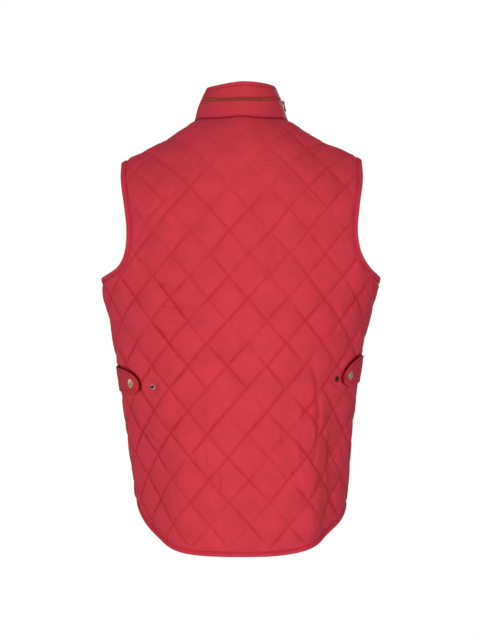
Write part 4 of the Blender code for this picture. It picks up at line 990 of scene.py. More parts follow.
def binding(name, stations, width, closed, layer):
    """A tape folded over an edge, slightly uneven, with its row of stitches."""
    profile = binding_profile(width)
    places, inward = np.array([s[1] for s in stations]), np.array([s[2] for s in stations])
    halves = np.array([s[0] is BACK for s in stations])

    def at(inset, lift):
        points, out = np.empty((len(stations), 3)), np.empty((len(stations), 3))
        for half, chosen in ((BACK, halves), (FRONT, ~halves)):
            if chosen.any():
                here = places[chosen] + inward[chosen] * inset
                points[chosen], out[chosen] = half.points(here, np.full(chosen.sum(), lift))
        return points, out

    edge, out = at(0.0, 0.0)
    inner, _ = at(ARMHOLE_BINDING, 0.0)
    beyond = unit(edge - inner)
    gone = along(edge)
    slow, quick = noise(gone / 0.016, 0, layer), noise(gone / (4.5 * MM), 0, layer + 1)
    rings, cloth = [], []
    for k, (inset, lift) in enumerate(profile):
        outside = lift > ON_WALL + 0.05 * MM and k < len(profile) - 5
        swell = (0.10 * MM * slow + 0.13 * MM * quick * bump(width - 2.6 * MM, 1.6 * MM, inset)) * outside
        if inset > 0:
            points, here = at(inset, lift)
            points = points + here * swell[:, None]
        else:
            tucked = inset - 0.10 * MM * slow * (inset < -0.5 * MM)
            points = edge - beyond * tucked[:, None] + out * (lift + swell)[:, None]
        rings.append(points)
        across = width - inset if lift > 0 else width + 2 * MM + inset
        cloth.append(np.stack([gone, np.full(len(gone), across)], axis=1))
    rings, cloth = np.stack(rings, axis=1), np.stack(cloth, axis=1)
    # painted shade along the groove of the binding's row of stitches
    stitched = bump(width - BINDING_STITCH, 0.6 * MM, profile[:, 0]) * (profile[:, 1] > 0)
    near = np.broadcast_to(stitched, rings.shape[:2])
    points, faces = tube(rings, closed)
    piece = new_piece(
        name + "_tape", points, faces, BINDING_CLOTH_LOOK, "binding_cloth", replaces=(name,),
        cloth=cloth.reshape(-1, 2), painted_shade=near.ravel(),
    )
    line, here = at(width - BINDING_STITCH, ON_WALL + BINDING_CLOTH - 0.22 * MM)
    if closed:
        line, here = np.concatenate([line, line[:1]]), np.concatenate([here, here[:1]])
    new_piece(name + "_thread", *stitches([(line, here)]), THREAD, "binding_cloth")


def seam_direction(run, from_start):
    places = run.places
    return unit(places[1] - places[0]) if from_start else unit(places[-2] - places[-1])


def armhole_binding(word, back, front, side):
    back_run, front_run = back["armhole_" + word], front["armhole"]
    side_seam, shoulder = back["side_" + word], back["shoulder_" + word]
    if side > 0:
        ends = seam_direction(side_seam, False), seam_direction(shoulder, True)
    else:
        ends = seam_direction(shoulder, False), seam_direction(side_seam, True)
    stations = edge_stations(BACK, back_run, *ends) + edge_stations(FRONT, front_run)[1:-1][::-1]
    binding("armhole_binding_" + word, stations, ARMHOLE_BINDING, True, ARMHOLE_LAYER + side)


def hem_binding(back, front_left, front_right):
    down_left, down_right = seam_direction(back["side_left"], True), seam_direction(back["side_right"], False)
    right = edge_stations(FRONT, front_right["hem"])
    middle = edge_stations(BACK, back["hem"], down_right, down_left)
    left = edge_stations(FRONT, front_left["hem"])
    binding("hem_binding", left[:-1] + middle[::-1] + right[1:], HEM_BINDING, False, HEM_LAYER)


# ---- The collar ----------------------------------------------------------------------------------


def neck_base():
    """The neck seam as (turns, points)."""
    turns = np.linspace(-math.pi, math.pi, 1441)
    points = np.empty((len(turns), 3))
    behind = np.abs(turns) <= SIDE_NECK_TURN
    for half, chosen in ((BACK, behind), (FRONT, ~behind)):
        points[chosen] = half.points(half.place_on_neck(turns[chosen]), np.zeros(chosen.sum()))[0]
    return turns, points


BASE_TURNS, BASE_POINTS = neck_base()


def collar_middle(turn, share):
    """The collar's middle surface: share 0 is the neck seam and 1 the top edge."""
    turn, share = np.broadcast_arrays(np.asarray(turn, float), np.asarray(share, float))
    base = read_at(turn, BASE_TURNS, BASE_POINTS)
    share = share + COLLAR_ZIP_RISE * np.sin(turn) ** 2 * ease(0.08, 0.38, share) * ease(0.95, 0.65, share)
    middle, reach = (COLLAR_TOP_BACK + COLLAR_TOP_FRONT) / 2, (COLLAR_TOP_BACK - COLLAR_TOP_FRONT) / 2
    dip = ease(math.radians(75), math.pi, np.abs(turn))
    sag = COLLAR_TOP_SAG * np.clip(np.sin(2 * turn), 0, 1) * (np.abs(turn) < math.pi / 2)
    height = COLLAR_TOP_HEIGHT + (COLLAR_TOP_HEIGHT_FRONT - COLLAR_TOP_HEIGHT) * dip
    height = height - COLLAR_TOP_ARCH * np.sin(turn) ** 2 - sag
    top = np.stack([COLLAR_TOP_HALF_WIDTH * np.sin(turn), middle + reach * np.cos(turn), height], axis=-1)
    outward = np.stack([np.sin(turn), np.cos(turn), np.zeros_like(turn)], axis=-1)
    bow = (COLLAR_BOW + COLLAR_BOW_LEFT * np.clip(np.sin(turn), 0, 1) ** 2) * np.sin(math.pi * share)
    return base + (top - base) * share[..., None] + outward * bow[..., None]


def collar_frame(turn, share):
    """(points, outward normals, upward directions) on the collar's middle surface."""
    nudge, step = 1e-3, 0.012
    above, below = np.minimum(share + nudge, 1), np.maximum(share - nudge, -0.05)
    up = unit(collar_middle(turn, above) - collar_middle(turn, below))
    ahead = collar_middle(turn + step, share) - collar_middle(turn - step, share)
    return collar_middle(turn, share), unit(np.cross(up, ahead)), up


def collar_edge_turn(share):
    half_width = NECK_HALF_WIDTH + (COLLAR_TOP_HALF_WIDTH - NECK_HALF_WIDTH) * share
    return math.pi - np.arcsin(ZIP_HALF_GAP / half_width)


def collar_outside(gone, turn, share, height):
    """How far the outer face stands off the collar's middle, at a length round it and a share up it."""
    up = share * height
    slot = COLLAR_ZIP_HEIGHT * height
    from_zip = np.abs(up - slot) - COLLAR_ZIP_LIPS
    past_end = np.maximum(COLLAR_ZIP_ENDS[0] - turn, turn - COLLAR_ZIP_ENDS[1])
    zipped = ease(math.radians(5.5), math.radians(3.5), past_end)
    lift = COLLAR_HALF_WALL + np.zeros_like(up)
    lift = lift + 0.7 * MM * bump(2.6 * MM, 2.2 * MM, up)
    lift = lift - 0.35 * MM * bump(height - COLLAR_TOP_STITCH, 0.7 * MM, up)
    lift = lift + 0.30 * MM * bump(height - 3.2 * MM, 2.4 * MM, up)
    ripple = 0.35 * MM * noise(gone / 0.020, up / 0.014, RIPPLE_LAYER) * ease(0, 6 * MM, up)
    lift = lift + ripple * ease(0, 5 * MM, np.abs(from_zip))
    pucker = 0.16 * MM * noise(gone / 0.006, up / 0.018, PUCKER_LAYER)
    lift = lift + pucker * bump(height - COLLAR_TOP_STITCH, 4 * MM, up)
    lips = 0.38 * MM * bump(1.2 * MM, 1.0 * MM, from_zip) - 0.22 * MM * bump(2.6 * MM, 0.5 * MM, from_zip)
    lift = lift + zipped * lips
    return lift - zipped * COLLAR_ZIP_DEPTH * ease(0.12 * MM, -0.12 * MM, from_zip)


def collar_shares(height):
    slot = COLLAR_ZIP_LIPS / height
    rows = [np.linspace(-0.02, 0.14, 13), np.linspace(0.17, COLLAR_ZIP_HEIGHT - slot - 0.03, 8)]
    beside = np.array([0.2, 0.5, 1.0, 1.5, 2.1, 2.6, 3.1]) * MM
    for edge in (COLLAR_ZIP_HEIGHT - slot, COLLAR_ZIP_HEIGHT + slot):
        rows.append(edge + np.concatenate([-beside[::-1], [0], beside]) / height)
    stitch = 1 - COLLAR_TOP_STITCH / height
    rows.append(np.linspace(COLLAR_ZIP_HEIGHT + slot + 0.07, stitch - 0.05, 6))
    rows.append(stitch + np.array([-1.4, -0.9, -0.45, 0, 0.45, 0.9, 1.4]) * MM / height)
    rows.append(np.linspace(stitch + 0.05, 1.0, 6))
    return np.unique(np.concatenate(rows))


def collar():
    """One stand of doubled cloth from front edge to front edge, with a slot round its back for the zip."""
    height = float(np.linalg.norm(collar_middle(0.0, 1.0) - collar_middle(0.0, 0.0)))
    shares = collar_shares(height)
    share_round = np.linspace(-1, 1, COLLAR_STATIONS)[:, None]
    turns = share_round * collar_edge_turn(shares)[None, :]
    grid = np.broadcast_to(shares, turns.shape)
    middle, out, up = collar_frame(turns, grid)
    gone = np.concatenate([[0], np.cumsum(np.linalg.norm(np.diff(middle[:, 0], axis=0), axis=1))])[:, None]
    lift = collar_outside(gone, turns, grid, height)
    bottom = ease(-0.02, 0.03, grid)
    outer = middle + out * (lift * (0.35 + 0.65 * bottom))[..., None]
    crumple = 0.25 * MM * noise(gone / 0.024, grid * 3, CRUMPLE_LAYER)
    crumple = crumple * ease(0, 0.15, grid) * ease(1.0, 0.85, grid)
    inner = middle - out * (COLLAR_HALF_WALL + crumple)[..., None]
    angles = np.radians([60, 25, -10, -45, -75])
    beyond = [(math.sin(a) * COLLAR_HALF_WALL, math.cos(a) * 1.0 * MM) for a in angles]
    top = [middle[:, -1] + out[:, -1] * outwards + up[:, -1] * upwards for outwards, upwards in beyond]
    rings = np.concatenate([outer, np.stack(top, axis=1), inner[:, ::-1][:, ::3]], axis=1)
    ups = shares * height
    cloth_up = np.concatenate([ups, [height + 1 * MM] * len(angles), ups[::-1][::3]])
    cloth = np.stack(np.broadcast_arrays(gone + 0.0, cloth_up[None, :]), axis=-1)
    from_zip = np.abs(cloth_up - COLLAR_ZIP_HEIGHT * height) - COLLAR_ZIP_LIPS
    middle_turn = turns[:, [len(shares) // 2]]
    zipped = (middle_turn > COLLAR_ZIP_ENDS[0] - 0.05) & (middle_turn < COLLAR_ZIP_ENDS[1] + 0.05)
    # Painted shade on the collar: a painted shadow along its lower edge where it overhangs the body, and
    # painted shade along the top row of stitches and the lips of the zip's slot.
    near = 1.25 * bump(0.5 * MM, 1.9 * MM, cloth_up) + bump(height - COLLAR_TOP_STITCH, 0.7 * MM, cloth_up)
    near = np.clip(near[None, :] + zipped * bump(0, 0.6 * MM, from_zip)[None, :], 0, 1)
    near = np.where(np.arange(rings.shape[1]) < len(shares), near, 0)
    points, faces = tube(rings)
    piece = new_piece(
        "collar_cloth", points, faces, COLLAR_CLOTH, "plain_cloth", replaces=("collar",),
        cloth=cloth.reshape(-1, 2), painted_shade=near.ravel(),
    )

    lines = []
    edge = float(collar_edge_turn(0.9)) - 0.02
    for up_at, ends, over in (
        (height - COLLAR_TOP_STITCH, (-edge, edge), -0.12 * MM),
        (COLLAR_ZIP_HEIGHT * height + COLLAR_ZIP_LIPS + 2.6 * MM, COLLAR_ZIP_ENDS, -0.05 * MM),
        (COLLAR_ZIP_HEIGHT * height - COLLAR_ZIP_LIPS - 2.6 * MM, COLLAR_ZIP_ENDS, -0.05 * MM),
    ):
        share = up_at / height
        line_turns = np.linspace(*ends, 300)
        points, out, _ = collar_frame(line_turns, np.full(300, share))
        run = np.interp(line_turns, turns[:, len(shares) // 2], gone[:, 0])
        lift = collar_outside(run, line_turns, np.full(300, share), height) + over
        lines.append((points + out * lift[:, None], out))
    new_piece("collar_thread", *stitches(lines), THREAD, "plain_cloth")


# ---- Zips ----------------------------------------------------------------------------------------


def tooth_shape(reach, half_long, half_thick, chamfer):
    """A zip tooth: x runs across the tape, y along it and z out of it."""
    rings = []
    for z, inset in ((-1, chamfer), (-0.45, 0), (0.45, 0), (1, chamfer)):
        x0, x1, y = reach[0] + inset, reach[1] - inset, half_long - inset
        cut = 0.3 * half_long
        ring = [(x1 - cut, -y), (x1, -y + cut), (x1, y - cut), (x1 - cut, y)]
        ring += [(x0 + cut, y), (x0, y - cut), (x0, -y + cut), (x0 + cut, -y)]
        rings.append([(x, beside, z * half_thick) for x, beside in ring])
    return tube(np.array(rings, float))


def zip_teeth(name, points, out, across, pitch, width, thick, look):
    """Two rows of teeth that mesh along a line of points."""
    gone = along(points)
    count = int(gone[-1] / pitch)
    parts = []
    for side in (-1, 1):
        middle = (np.arange(count) + 0.5 + 0.25 * side) * pitch
        here, lift = read_at(middle, gone, points), unit(read_at(middle, gone, out))
        aside = unit(read_at(middle, gone, across)) * side
        axes = np.stack([aside, np.cross(lift, aside), lift], axis=1)
        shape = tooth_shape((-0.22 * width, 0.5 * width), 0.20 * pitch, thick / 2, 0.14 * thick)
        parts.append(repeated(*shape, here, axes))
        knob = tooth_shape((-0.30 * width, -0.06 * width), 0.30 * pitch, 0.42 * thick, 0.12 * thick)
        parts.append(repeated(*knob, here, axes))
    new_piece(name, *joined(parts), look, "zip_metal", sharp=40)


def zip_tape(node, points, out, across, half_tape, half_bead, tape, bead):
    """The woven tapes of a closed zip, with a cord along the teeth."""
    beyond = half_bead + 0.4 * MM
    offsets = np.concatenate([
        np.linspace(-half_tape, -beyond, 6),
        np.linspace(-half_bead, half_bead, 9),
        np.linspace(beyond, half_tape, 6),
    ])
    lifts = tape / 2 * (0.35 + 0.65 * ease(half_tape, half_tape - 0.5 * MM, np.abs(offsets)))
    from_cord = (np.abs(offsets) - 0.8 * half_bead) / (0.35 * half_bead)
    lifts = lifts + (bead / 2 - tape / 2) * np.exp(-(from_cord**2))
    lifts = lifts - (tape / 2 - 0.08 * MM) * bump(0, 0.25 * half_bead, offsets)
    ring = [(a, l) for a, l in zip(offsets, lifts)] + [(a, -tape / 2 * 0.8) for a in offsets[::-1]]
    rings = np.stack([points + across * a + out * l for a, l in ring], axis=1)
    gone = along(points)
    cloth = np.stack(np.broadcast_arrays(np.array([a for a, _ in ring])[None, :], gone[:, None]), axis=-1)
    mesh_points, faces = tube(rings)
    piece = new_piece(
        node + "_tape", mesh_points, faces, ZIP_TAPE_LOOK, "zip_tape",
        replaces=(node,), cloth=cloth.reshape(-1, 2),
    )


def front_zip():
    shares = np.linspace(0.985, 0.04, 30)
    top, top_out, _ = collar_frame(np.full(30, math.pi - 1e-6), shares)
    top[:, 0] = 0
    neck_up = FRONT.place_on_neck(np.array([math.pi]))[0, 1]
    hem_up = hem_run(FRONT, HEM_FRONT, np.zeros(1))[0, 1]
    ups = np.linspace(neck_up - 3 * MM, hem_up + 2 * MM, 260)
    low, low_out = FRONT.points(np.stack([np.zeros_like(ups), ups], axis=1), np.zeros(len(ups)))
    points = resample(np.concatenate([top, low]), 2.5 * MM)
    gone_all, gone = along(np.concatenate([top, low])), along(points)
    out_all = np.concatenate([top_out, low_out])
    out = unit(read_at(gone, gone_all, out_all) * [0, 1, 1])
    across = np.tile([1.0, 0.0, 0.0], (len(points), 1))
    half_tape, thick = ZIP_HALF_GAP - 0.06 * MM, ZIP_TEETH_THICK - 0.5 * MM
    zip_tape("front_zip", points, out, across, half_tape, ZIP_TEETH_WIDTH / 2, ZIP_TAPE, 1.7 * MM)
    line = (points + out * 0.25 * MM)[2:-2], out[2:-2], across[2:-2]
    zip_teeth("front_zip_teeth", *line, 2.5 * MM, ZIP_TEETH_WIDTH, thick, ZIP_TEETH)


def collar_zip():
    turns = np.linspace(*COLLAR_ZIP_ENDS, 240)
    points, out, up = collar_frame(turns, np.full(240, COLLAR_ZIP_HEIGHT))
    points = points + out * (COLLAR_HALF_WALL - COLLAR_ZIP_DEPTH + SEAM_GAP + COLLAR_ZIP_TAPE / 2)
    half_tape, thick = COLLAR_ZIP_HALF_SLOT - 0.1 * MM, COLLAR_ZIP_TEETH - 0.3 * MM
    zip_tape("collar_zip", points, out, up, half_tape, 1.9 * MM, COLLAR_ZIP_TAPE, 1.2 * MM)
    line = (points + out * 0.2 * MM)[2:-2], out[2:-2], up[2:-2]
    zip_teeth("collar_zip_teeth", *line, 1.7 * MM, 4.2 * MM, thick, COLLAR_TEETH)


def edge_thread(fronts):
    """The rows of stitches that hold the fronts to the zip."""
    for word, runs, layer in zip(("left", "right"), fronts, FRONT_LAYERS):
        run = runs["centre"].places
        places = run + inward_of(run) * 3.2 * MM
        thread = stitches([on_panel(FRONT, runs, places, layer, 0.0)])
        new_piece("front_edge_thread_" + word, *thread, THREAD, "quilted_cloth")


# ---- Side tabs and press studs -------------------------------------------------------------------


def tab_place(tab, along_tab, over):
    """(across, up) on the back at lengths along a tab from its seam and distances above its middle line."""
    along_tab, over = np.broadcast_arrays(np.asarray(along_tab, float), np.asarray(over, float))
    share = along_tab / tab["length"]
    belly = tab["belly"] * np.sin(math.pi * np.minimum(share, 1))
    height = tab["height"] - tab["drop"] * share + belly + over
    levels = BACK.level_at(height.ravel())
    seam = BACK.place(np.full(len(levels), tab["side"] * math.pi / 2), levels)
    return np.stack([seam[:, 0] - tab["side"] * along_tab.ravel(), seam[:, 1]], axis=1)


def tab_half_width(tab, share):
    return (TAB_HALF_WIDTH + tab["belly"] * np.sin(math.pi * share)) * (1 - share**6.5) ** 0.5


def tab_shares(start, straight, tip):
    """Shares of a tab's length: `straight` ones up to its tip, and about `tip` closer ones round it."""
    round_tip = 1 - 0.2 * np.cos(np.linspace(0, math.pi / 2, tip))[1:-1]
    return np.concatenate([np.linspace(start, 0.8, straight), round_tip, [TAB_TIP]])


def tab_outline(tab, shares):
    """(lengths along a tab, distances above its middle line), from its seam round its tip and back."""
    half_width = tab_half_width(tab, shares)
    gone = np.concatenate([shares, shares[::-1]]) * tab["length"]
    return gone, np.concatenate([half_width, -half_width[::-1]])


def tab_rise(tab, along_tab):
    """How far a tab's under face stands off the wall's middle: it climbs from its seam onto the quilting."""
    return ON_WALL + (TAB_RISE - HALF_WALL) * ease(0.0, 0.3, along_tab / tab["length"])


def side_tab(tab, layer):
    """A strap of doubled cloth sewn into the side seam, with a row of stitches inside its edge."""
    name = "side_tab_" + tab["name"]
    shares = tab_shares(0.004, 40, 16)
    columns_across = np.sin(np.linspace(-math.pi / 2, math.pi / 2, TAB_LINES))
    along_tab = shares[:, None] * tab["length"] + np.zeros((1, TAB_LINES))
    over = tab_half_width(tab, shares)[:, None] * columns_across[None, :]
    low, out = BACK.points(tab_place(tab, along_tab, over), tab_rise(tab, along_tab).ravel())
    low, out = low.reshape(len(shares), TAB_LINES, 3), out.reshape(len(shares), TAB_LINES, 3)

    outline = np.stack(tab_outline(tab, shares), axis=1)
    outline = outline[outline[:, 0] > 1 * MM]
    flat = np.stack([along_tab, over], axis=-1)
    to_edge = distance_to(outline, flat.reshape(-1, 2)).reshape(over.shape)
    rounded = np.sqrt(np.clip(1 - (1 - np.clip(to_edge / (1.1 * MM), 0, 1)) ** 2, 0, 1))
    swell = 0.35 * MM * bump(TAB_STITCH / 2, 1.6 * MM, to_edge)
    swell = swell - 0.5 * MM * bump(TAB_STITCH, 0.6 * MM, to_edge)
    swell = swell + 0.3 * MM * ease(TAB_STITCH, TAB_STITCH + 8 * MM, to_edge)
    uneven = noise(along_tab / (5 * MM), over / (9 * MM), layer)
    swell = swell + 0.22 * MM * uneven * ease(0.5 * MM, 3 * MM, to_edge)
    lift = TAB_CLOTH * (0.5 + 0.5 * rounded) + swell * rounded
    upper = low + out * lift[..., None]
    lower = low + out * (TAB_CLOTH * 0.5 * (1 - rounded))[..., None]
    points, faces = tube(np.concatenate([upper, lower[:, ::-1]], axis=1))
    cloth = np.concatenate([flat, flat[:, ::-1]], axis=1)
    # painted shade along the groove of the tab's row of stitches
    near = np.concatenate([bump(TAB_STITCH, 0.8 * MM, to_edge), np.zeros_like(over)], axis=1)
    piece = new_piece(
        name + "_cloth", points, faces, PLAIN_CLOTH, "plain_cloth", replaces=(name,),
        cloth=cloth.reshape(-1, 2), painted_shade=near.ravel(),
    )

    inset = outline + inward_of(outline[::-1])[::-1] * TAB_STITCH
    keep = inset[:, 0] < tab["length"] - 0.9 * TAB_STITCH
    keep &= np.abs(inset[:, 1]) < TAB_HALF_WIDTH + tab["belly"] - 0.9 * TAB_STITCH
    inset = resample(inset[keep & (distance_to(outline, inset) > 0.93 * TAB_STITCH)], 1.2 * MM)
    stitched = tab_rise(tab, inset[:, 0]) + TAB_CLOTH - 0.42 * MM
    line, line_out = BACK.points(tab_place(tab, inset[:, 0], inset[:, 1]), stitched)
    new_piece(name + "_thread", *stitches([(line, line_out)]), THREAD, "plain_cloth")


def turned(name, profile, radius, place, lift, material, node):
    """A round metal piece that stands on the back at a place.

    The profile's points are (share of the radius, height in millimetres).
    """
    base, out = BACK.points(place, np.array([lift]))
    out = out[0]
    aside = unit(np.cross([0.0, 0.0, 1.0], out))
    beside = np.cross(out, aside)
    angles = np.linspace(0, 2 * math.pi, ROUND_SIDES, endpoint=False)
    round_about = np.cos(angles)[:, None] * aside + np.sin(angles)[:, None] * beside
    rings = [base[0] + out * (height * MM) + round_about * (share * radius) for share, height in profile]
    new_piece(name, *tube(np.array(rings)), material, "snap_metal", replaces=(node,), sharp=50)


CAP_PROFILE = (
    (0.02, 0.0), (0.90, 0.0), (0.985, 0.12), (1.0, 0.35), (0.985, 0.60), (0.93, 0.80), (0.86, 0.86),
    (0.80, 0.80), (0.76, 0.84), (0.70, 1.12), (0.60, 1.50), (0.46, 1.84), (0.30, 2.06), (0.14, 2.17),
    (0.02, 2.2),
)
FLANGE_PROFILE = (
    (0.02, 0.0), (0.92, 0.0), (1.0, 0.25), (0.98, 0.52), (0.88, 0.74), (0.74, 0.80), (0.62, 0.62),
    (0.50, 0.50), (0.02, 0.48),
)
POST_PROFILE = (
    (0.02, 0.3), (0.45, 0.35), (0.41, 0.80), (0.395, 1.3), (0.40, 2.1), (0.455, 2.7), (0.47, 3.0),
    (0.43, 3.3), (0.33, 3.45), (0.24, 3.1), (0.16, 2.2), (0.02, 2.0),
)


def press_studs(tab):
    """The cap on a tab, and the bare stud on the back beside it."""
    cap_node, stud_node = "snap_cap_" + tab["name"], "snap_stud_" + tab["name"]
    place = tab_place(tab, tab["length"] - tab["cap_from_tip"], 0.0)
    lift = TAB_RISE + SEAM_GAP + TAB_CLOTH + 2 * SEAM_GAP - 0.25 * MM
    turned(cap_node + "_metal", CAP_PROFILE, SNAP_CAP_RADIUS, place, lift, METAL, cap_node)
    place, lift = tab_place(tab, tab["length"] + tab["stud_past_tip"], 0.0), HALF_WALL + 0.05 * MM
    flange_look = METAL_GREY if tab["side"] > 0 else METAL_DARK
    turned(stud_node + "_flange", FLANGE_PROFILE, STUD_RADIUS, place, lift, flange_look, stud_node)
    turned(stud_node + "_post", POST_PROFILE, STUD_RADIUS, place, lift, METAL_DARK, stud_node)


# ---- Materials -----------------------------------------------------------------------------------


class Nodes:
    """A material's nodes, made and joined by name."""

    def __init__(self, name):
        self.material = bpy.data.materials.new(name)
        self.material.use_nodes = True
        self.tree = self.material.node_tree
        self.shader = self.tree.nodes["Principled BSDF"]

    def add(self, kind, settings=(), inputs=()):
        node = self.tree.nodes.new("ShaderNode" + kind)
        for name, value in dict(settings).items():
            setattr(node, name, value)
        for name, value in dict(inputs).items():
            self.put(node, name, value)
        return node

    def put(self, node, name, value):
        socket = node.inputs[name]
        if isinstance(value, bpy.types.NodeSocket):
            self.tree.links.new(value, socket)
        else:
            socket.default_value = value

    def math(self, operation, first, second=0.0):
        return self.add("Math", {"operation": operation}, {0: first, 1: second}).outputs[0]

    def noise(self, vector, scale, detail=2.0, roughness=0.5):
        inputs = {"Vector": vector, "Scale": scale, "Detail": detail, "Roughness": roughness}
        return self.add("TexNoise", {}, inputs).outputs["Fac"]

    def mix(self, share, first, second):
        """Two colours mixed. They are inputs 6 and 7 of the node, and the mixed one is output 2."""
        return self.add("Mix", {"data_type": "RGBA"}, {"Factor": share, 6: first, 7: second}).outputs[2]

    def ramp(self, value, low, high, out_low, out_high):
        ends = {"From Min": low, "From Max": high, "To Min": out_low, "To Max": out_high}
        return self.add("MapRange", {}, {"Value": value, **ends}).outputs["Result"]

    def relief(self, strength, distance, height, under=None):
        """The normal of a surface with this relief, on top of another one."""
        inputs = {"Strength": strength, "Distance": distance, "Height": height}
        if under is not None:
            inputs["Normal"] = under
        return self.add("Bump", {}, inputs).outputs[0]


def shade(colour, by):
    return tuple(c * by for c in colour) + (1.0,)


def cloth_look(name, colour, shade_colour, thread, roughness, sheen, crumple=1.0):
    """Closely woven cloth: `thread` is the pitch of its weave, and the second colour is the painted shade
    that its seams, stitched lines and edges are darkened towards.
    """
    nodes = Nodes(name)
    place = nodes.add("TexCoord").outputs["UV"]
    split = nodes.add("SeparateXYZ", {}, {0: place})
    warp = nodes.math("SINE", nodes.math("MULTIPLY", split.outputs[0], 2 * math.pi / thread))
    weft = nodes.math("SINE", nodes.math("MULTIPLY", split.outputs[1], 2 * math.pi / thread))
    weave = nodes.math("MULTIPLY", warp, weft)
    slub_place = nodes.add("Mapping", {}, {"Vector": place, "Scale": (1.0, 14.0, 1.0)}).outputs[0]
    slub = nodes.noise(slub_place, 70.0, 3.0, 0.6)
    body = nodes.add("TexCoord").outputs["Object"]
    mottle = nodes.noise(body, 24.0, 4.0, 0.6)
    blend = nodes.math("ADD", nodes.math("MULTIPLY", mottle, 0.7), nodes.math("MULTIPLY", slub, 0.3))
    base = nodes.mix(nodes.ramp(blend, 0.36, 0.64, 0.0, 1.0), shade(colour, 0.91), shade(colour, 1.07))
    # Painted shade: the weight on each point darkens the colour towards the shade colour up to 1, and beyond
    # 1 towards the painted shadow colour.
    painted_shade = nodes.add("Attribute", {"attribute_name": "painted_shade"}).outputs["Fac"]
    sunk = nodes.math("MULTIPLY", nodes.math("MINIMUM", painted_shade, 1.0), 0.8)
    base = nodes.mix(sunk, base, tuple(shade_colour) + (1.0,))
    base = nodes.mix(nodes.math("SUBTRACT", painted_shade, 1.0), base, CREVICE_SHADOW + (1.0,))
    nodes.put(nodes.shader, "Base Color", base)
    patches = nodes.noise(body, 45.0, 3.0)
    nodes.put(nodes.shader, "Roughness", nodes.ramp(patches, 0.3, 0.7, roughness - 0.05, roughness + 0.06))
    nodes.put(nodes.shader, "Sheen Weight", sheen)
    nodes.put(nodes.shader, "Sheen Roughness", 0.45)
    nodes.put(nodes.shader, "Sheen Tint", (1.0, 0.42, 0.48, 1.0))
    nodes.put(nodes.shader, "Specular IOR Level", 0.015)
    wrinkles = nodes.relief(0.45 * crumple, 1.8 * MM, nodes.noise(body, 62.0, 5.0, 0.62))
    nodes.put(nodes.shader, "Normal", nodes.relief(0.25, 0.08 * MM, weave, wrinkles))
    return nodes.material


def thread_look(name, colour):
    nodes = Nodes(name)
    body = nodes.add("TexCoord").outputs["Object"]
    twist = nodes.noise(body, 1400.0, 1.0)
    nodes.put(nodes.shader, "Base Color", nodes.mix(twist, shade(colour, 0.8), shade(colour, 1.15)))
    nodes.put(nodes.shader, "Roughness", 0.6)
    nodes.put(nodes.shader, "Sheen Weight", 0.2)
    nodes.put(nodes.shader, "Normal", nodes.relief(0.4, 0.06 * MM, twist))
    return nodes.material


def metal_look(name, colour, dark, roughness, scale=420.0, metallic=0.85):
    """Cast metal with a patina that is patchy and fine-grained."""
    nodes = Nodes(name)
    body = nodes.add("TexCoord").outputs["Object"]
    patches = nodes.ramp(nodes.noise(body, scale, 4.0, 0.65), 0.38, 0.66, 0.0, 1.0)
    nodes.put(nodes.shader, "Base Color", nodes.mix(patches, tuple(dark) + (1.0,), tuple(colour) + (1.0,)))
    nodes.put(nodes.shader, "Metallic", metallic)
    nodes.put(nodes.shader, "Specular Tint", shade(colour, 1.2))
    nodes.put(nodes.shader, "Roughness", nodes.ramp(patches, 0.0, 1.0, roughness + 0.14, roughness))
    grain = nodes.noise(body, scale * 4, 3.0, 0.6)
    nodes.put(nodes.shader, "Normal", nodes.relief(0.2, 0.08 * MM, grain))
    return nodes.material


RED = (0.560, 0.0390, 0.0605)
# painted shade colours that seams, stitched lines and edges are darkened towards; the collar's is darker
# still
RED_SHADE = (0.420, 0.004, 0.014)
COLLAR_SHADE = (0.230, 0.004, 0.010)
CREVICE_SHADOW = (0.110, 0.001, 0.004)  # painted shadow: the darkest painted shade, under the upper edges and tips of the tabs and in the deepest stitched lines
QUILTED_CLOTH = cloth_look("quilted_cloth", RED, RED_SHADE, 0.42 * MM, 0.56, 0.02)
# The tabs' and the collar's cloth is RED made 12 % and 10 % darker: painted shade standing in for how these
# parts are turned to the light.
PLAIN_CLOTH = cloth_look("plain_cloth", tuple(c * 0.88 for c in RED), RED_SHADE, 0.42 * MM, 0.56, 0.02, 0.7)
COLLAR_CLOTH = cloth_look(
    "collar_cloth", tuple(c * 0.90 for c in RED), COLLAR_SHADE, 0.42 * MM, 0.56, 0.02, 0.7
)
BINDING_CLOTH_LOOK = cloth_look(
    "binding_cloth", tuple(c * 0.95 for c in RED), RED_SHADE, 0.60 * MM, 0.60, 0.02, 0.6
)
THREAD = thread_look("thread", (0.42, 0.018, 0.034))
ZIP_TAPE_LOOK = cloth_look(
    "zip_tape", (0.240, 0.042, 0.038), (0.11, 0.022, 0.020), 0.80 * MM, 0.75, 0.05, 0.2
)
ZIP_TEETH = metal_look("zip_teeth", (0.235, 0.150, 0.070), (0.080, 0.050, 0.028), 0.42, 900.0)
COLLAR_TEETH = metal_look("collar_zip_teeth", (0.480, 0.082, 0.068), (0.220, 0.038, 0.032), 0.62, 900.0, 0.3)
METAL = metal_look("antique_brass", (0.68, 0.49, 0.35), (0.30, 0.20, 0.14), 0.34)
METAL_DARK = metal_look("dark_brass", (0.150, 0.082, 0.055), (0.060, 0.034, 0.025), 0.74, 500.0, 0.85)
METAL_GREY = metal_look("worn_brass", (0.50, 0.47, 0.42), (0.20, 0.18, 0.15), 0.42)


# ---- Sliders and pulls ---------------------------------------------------------------------------


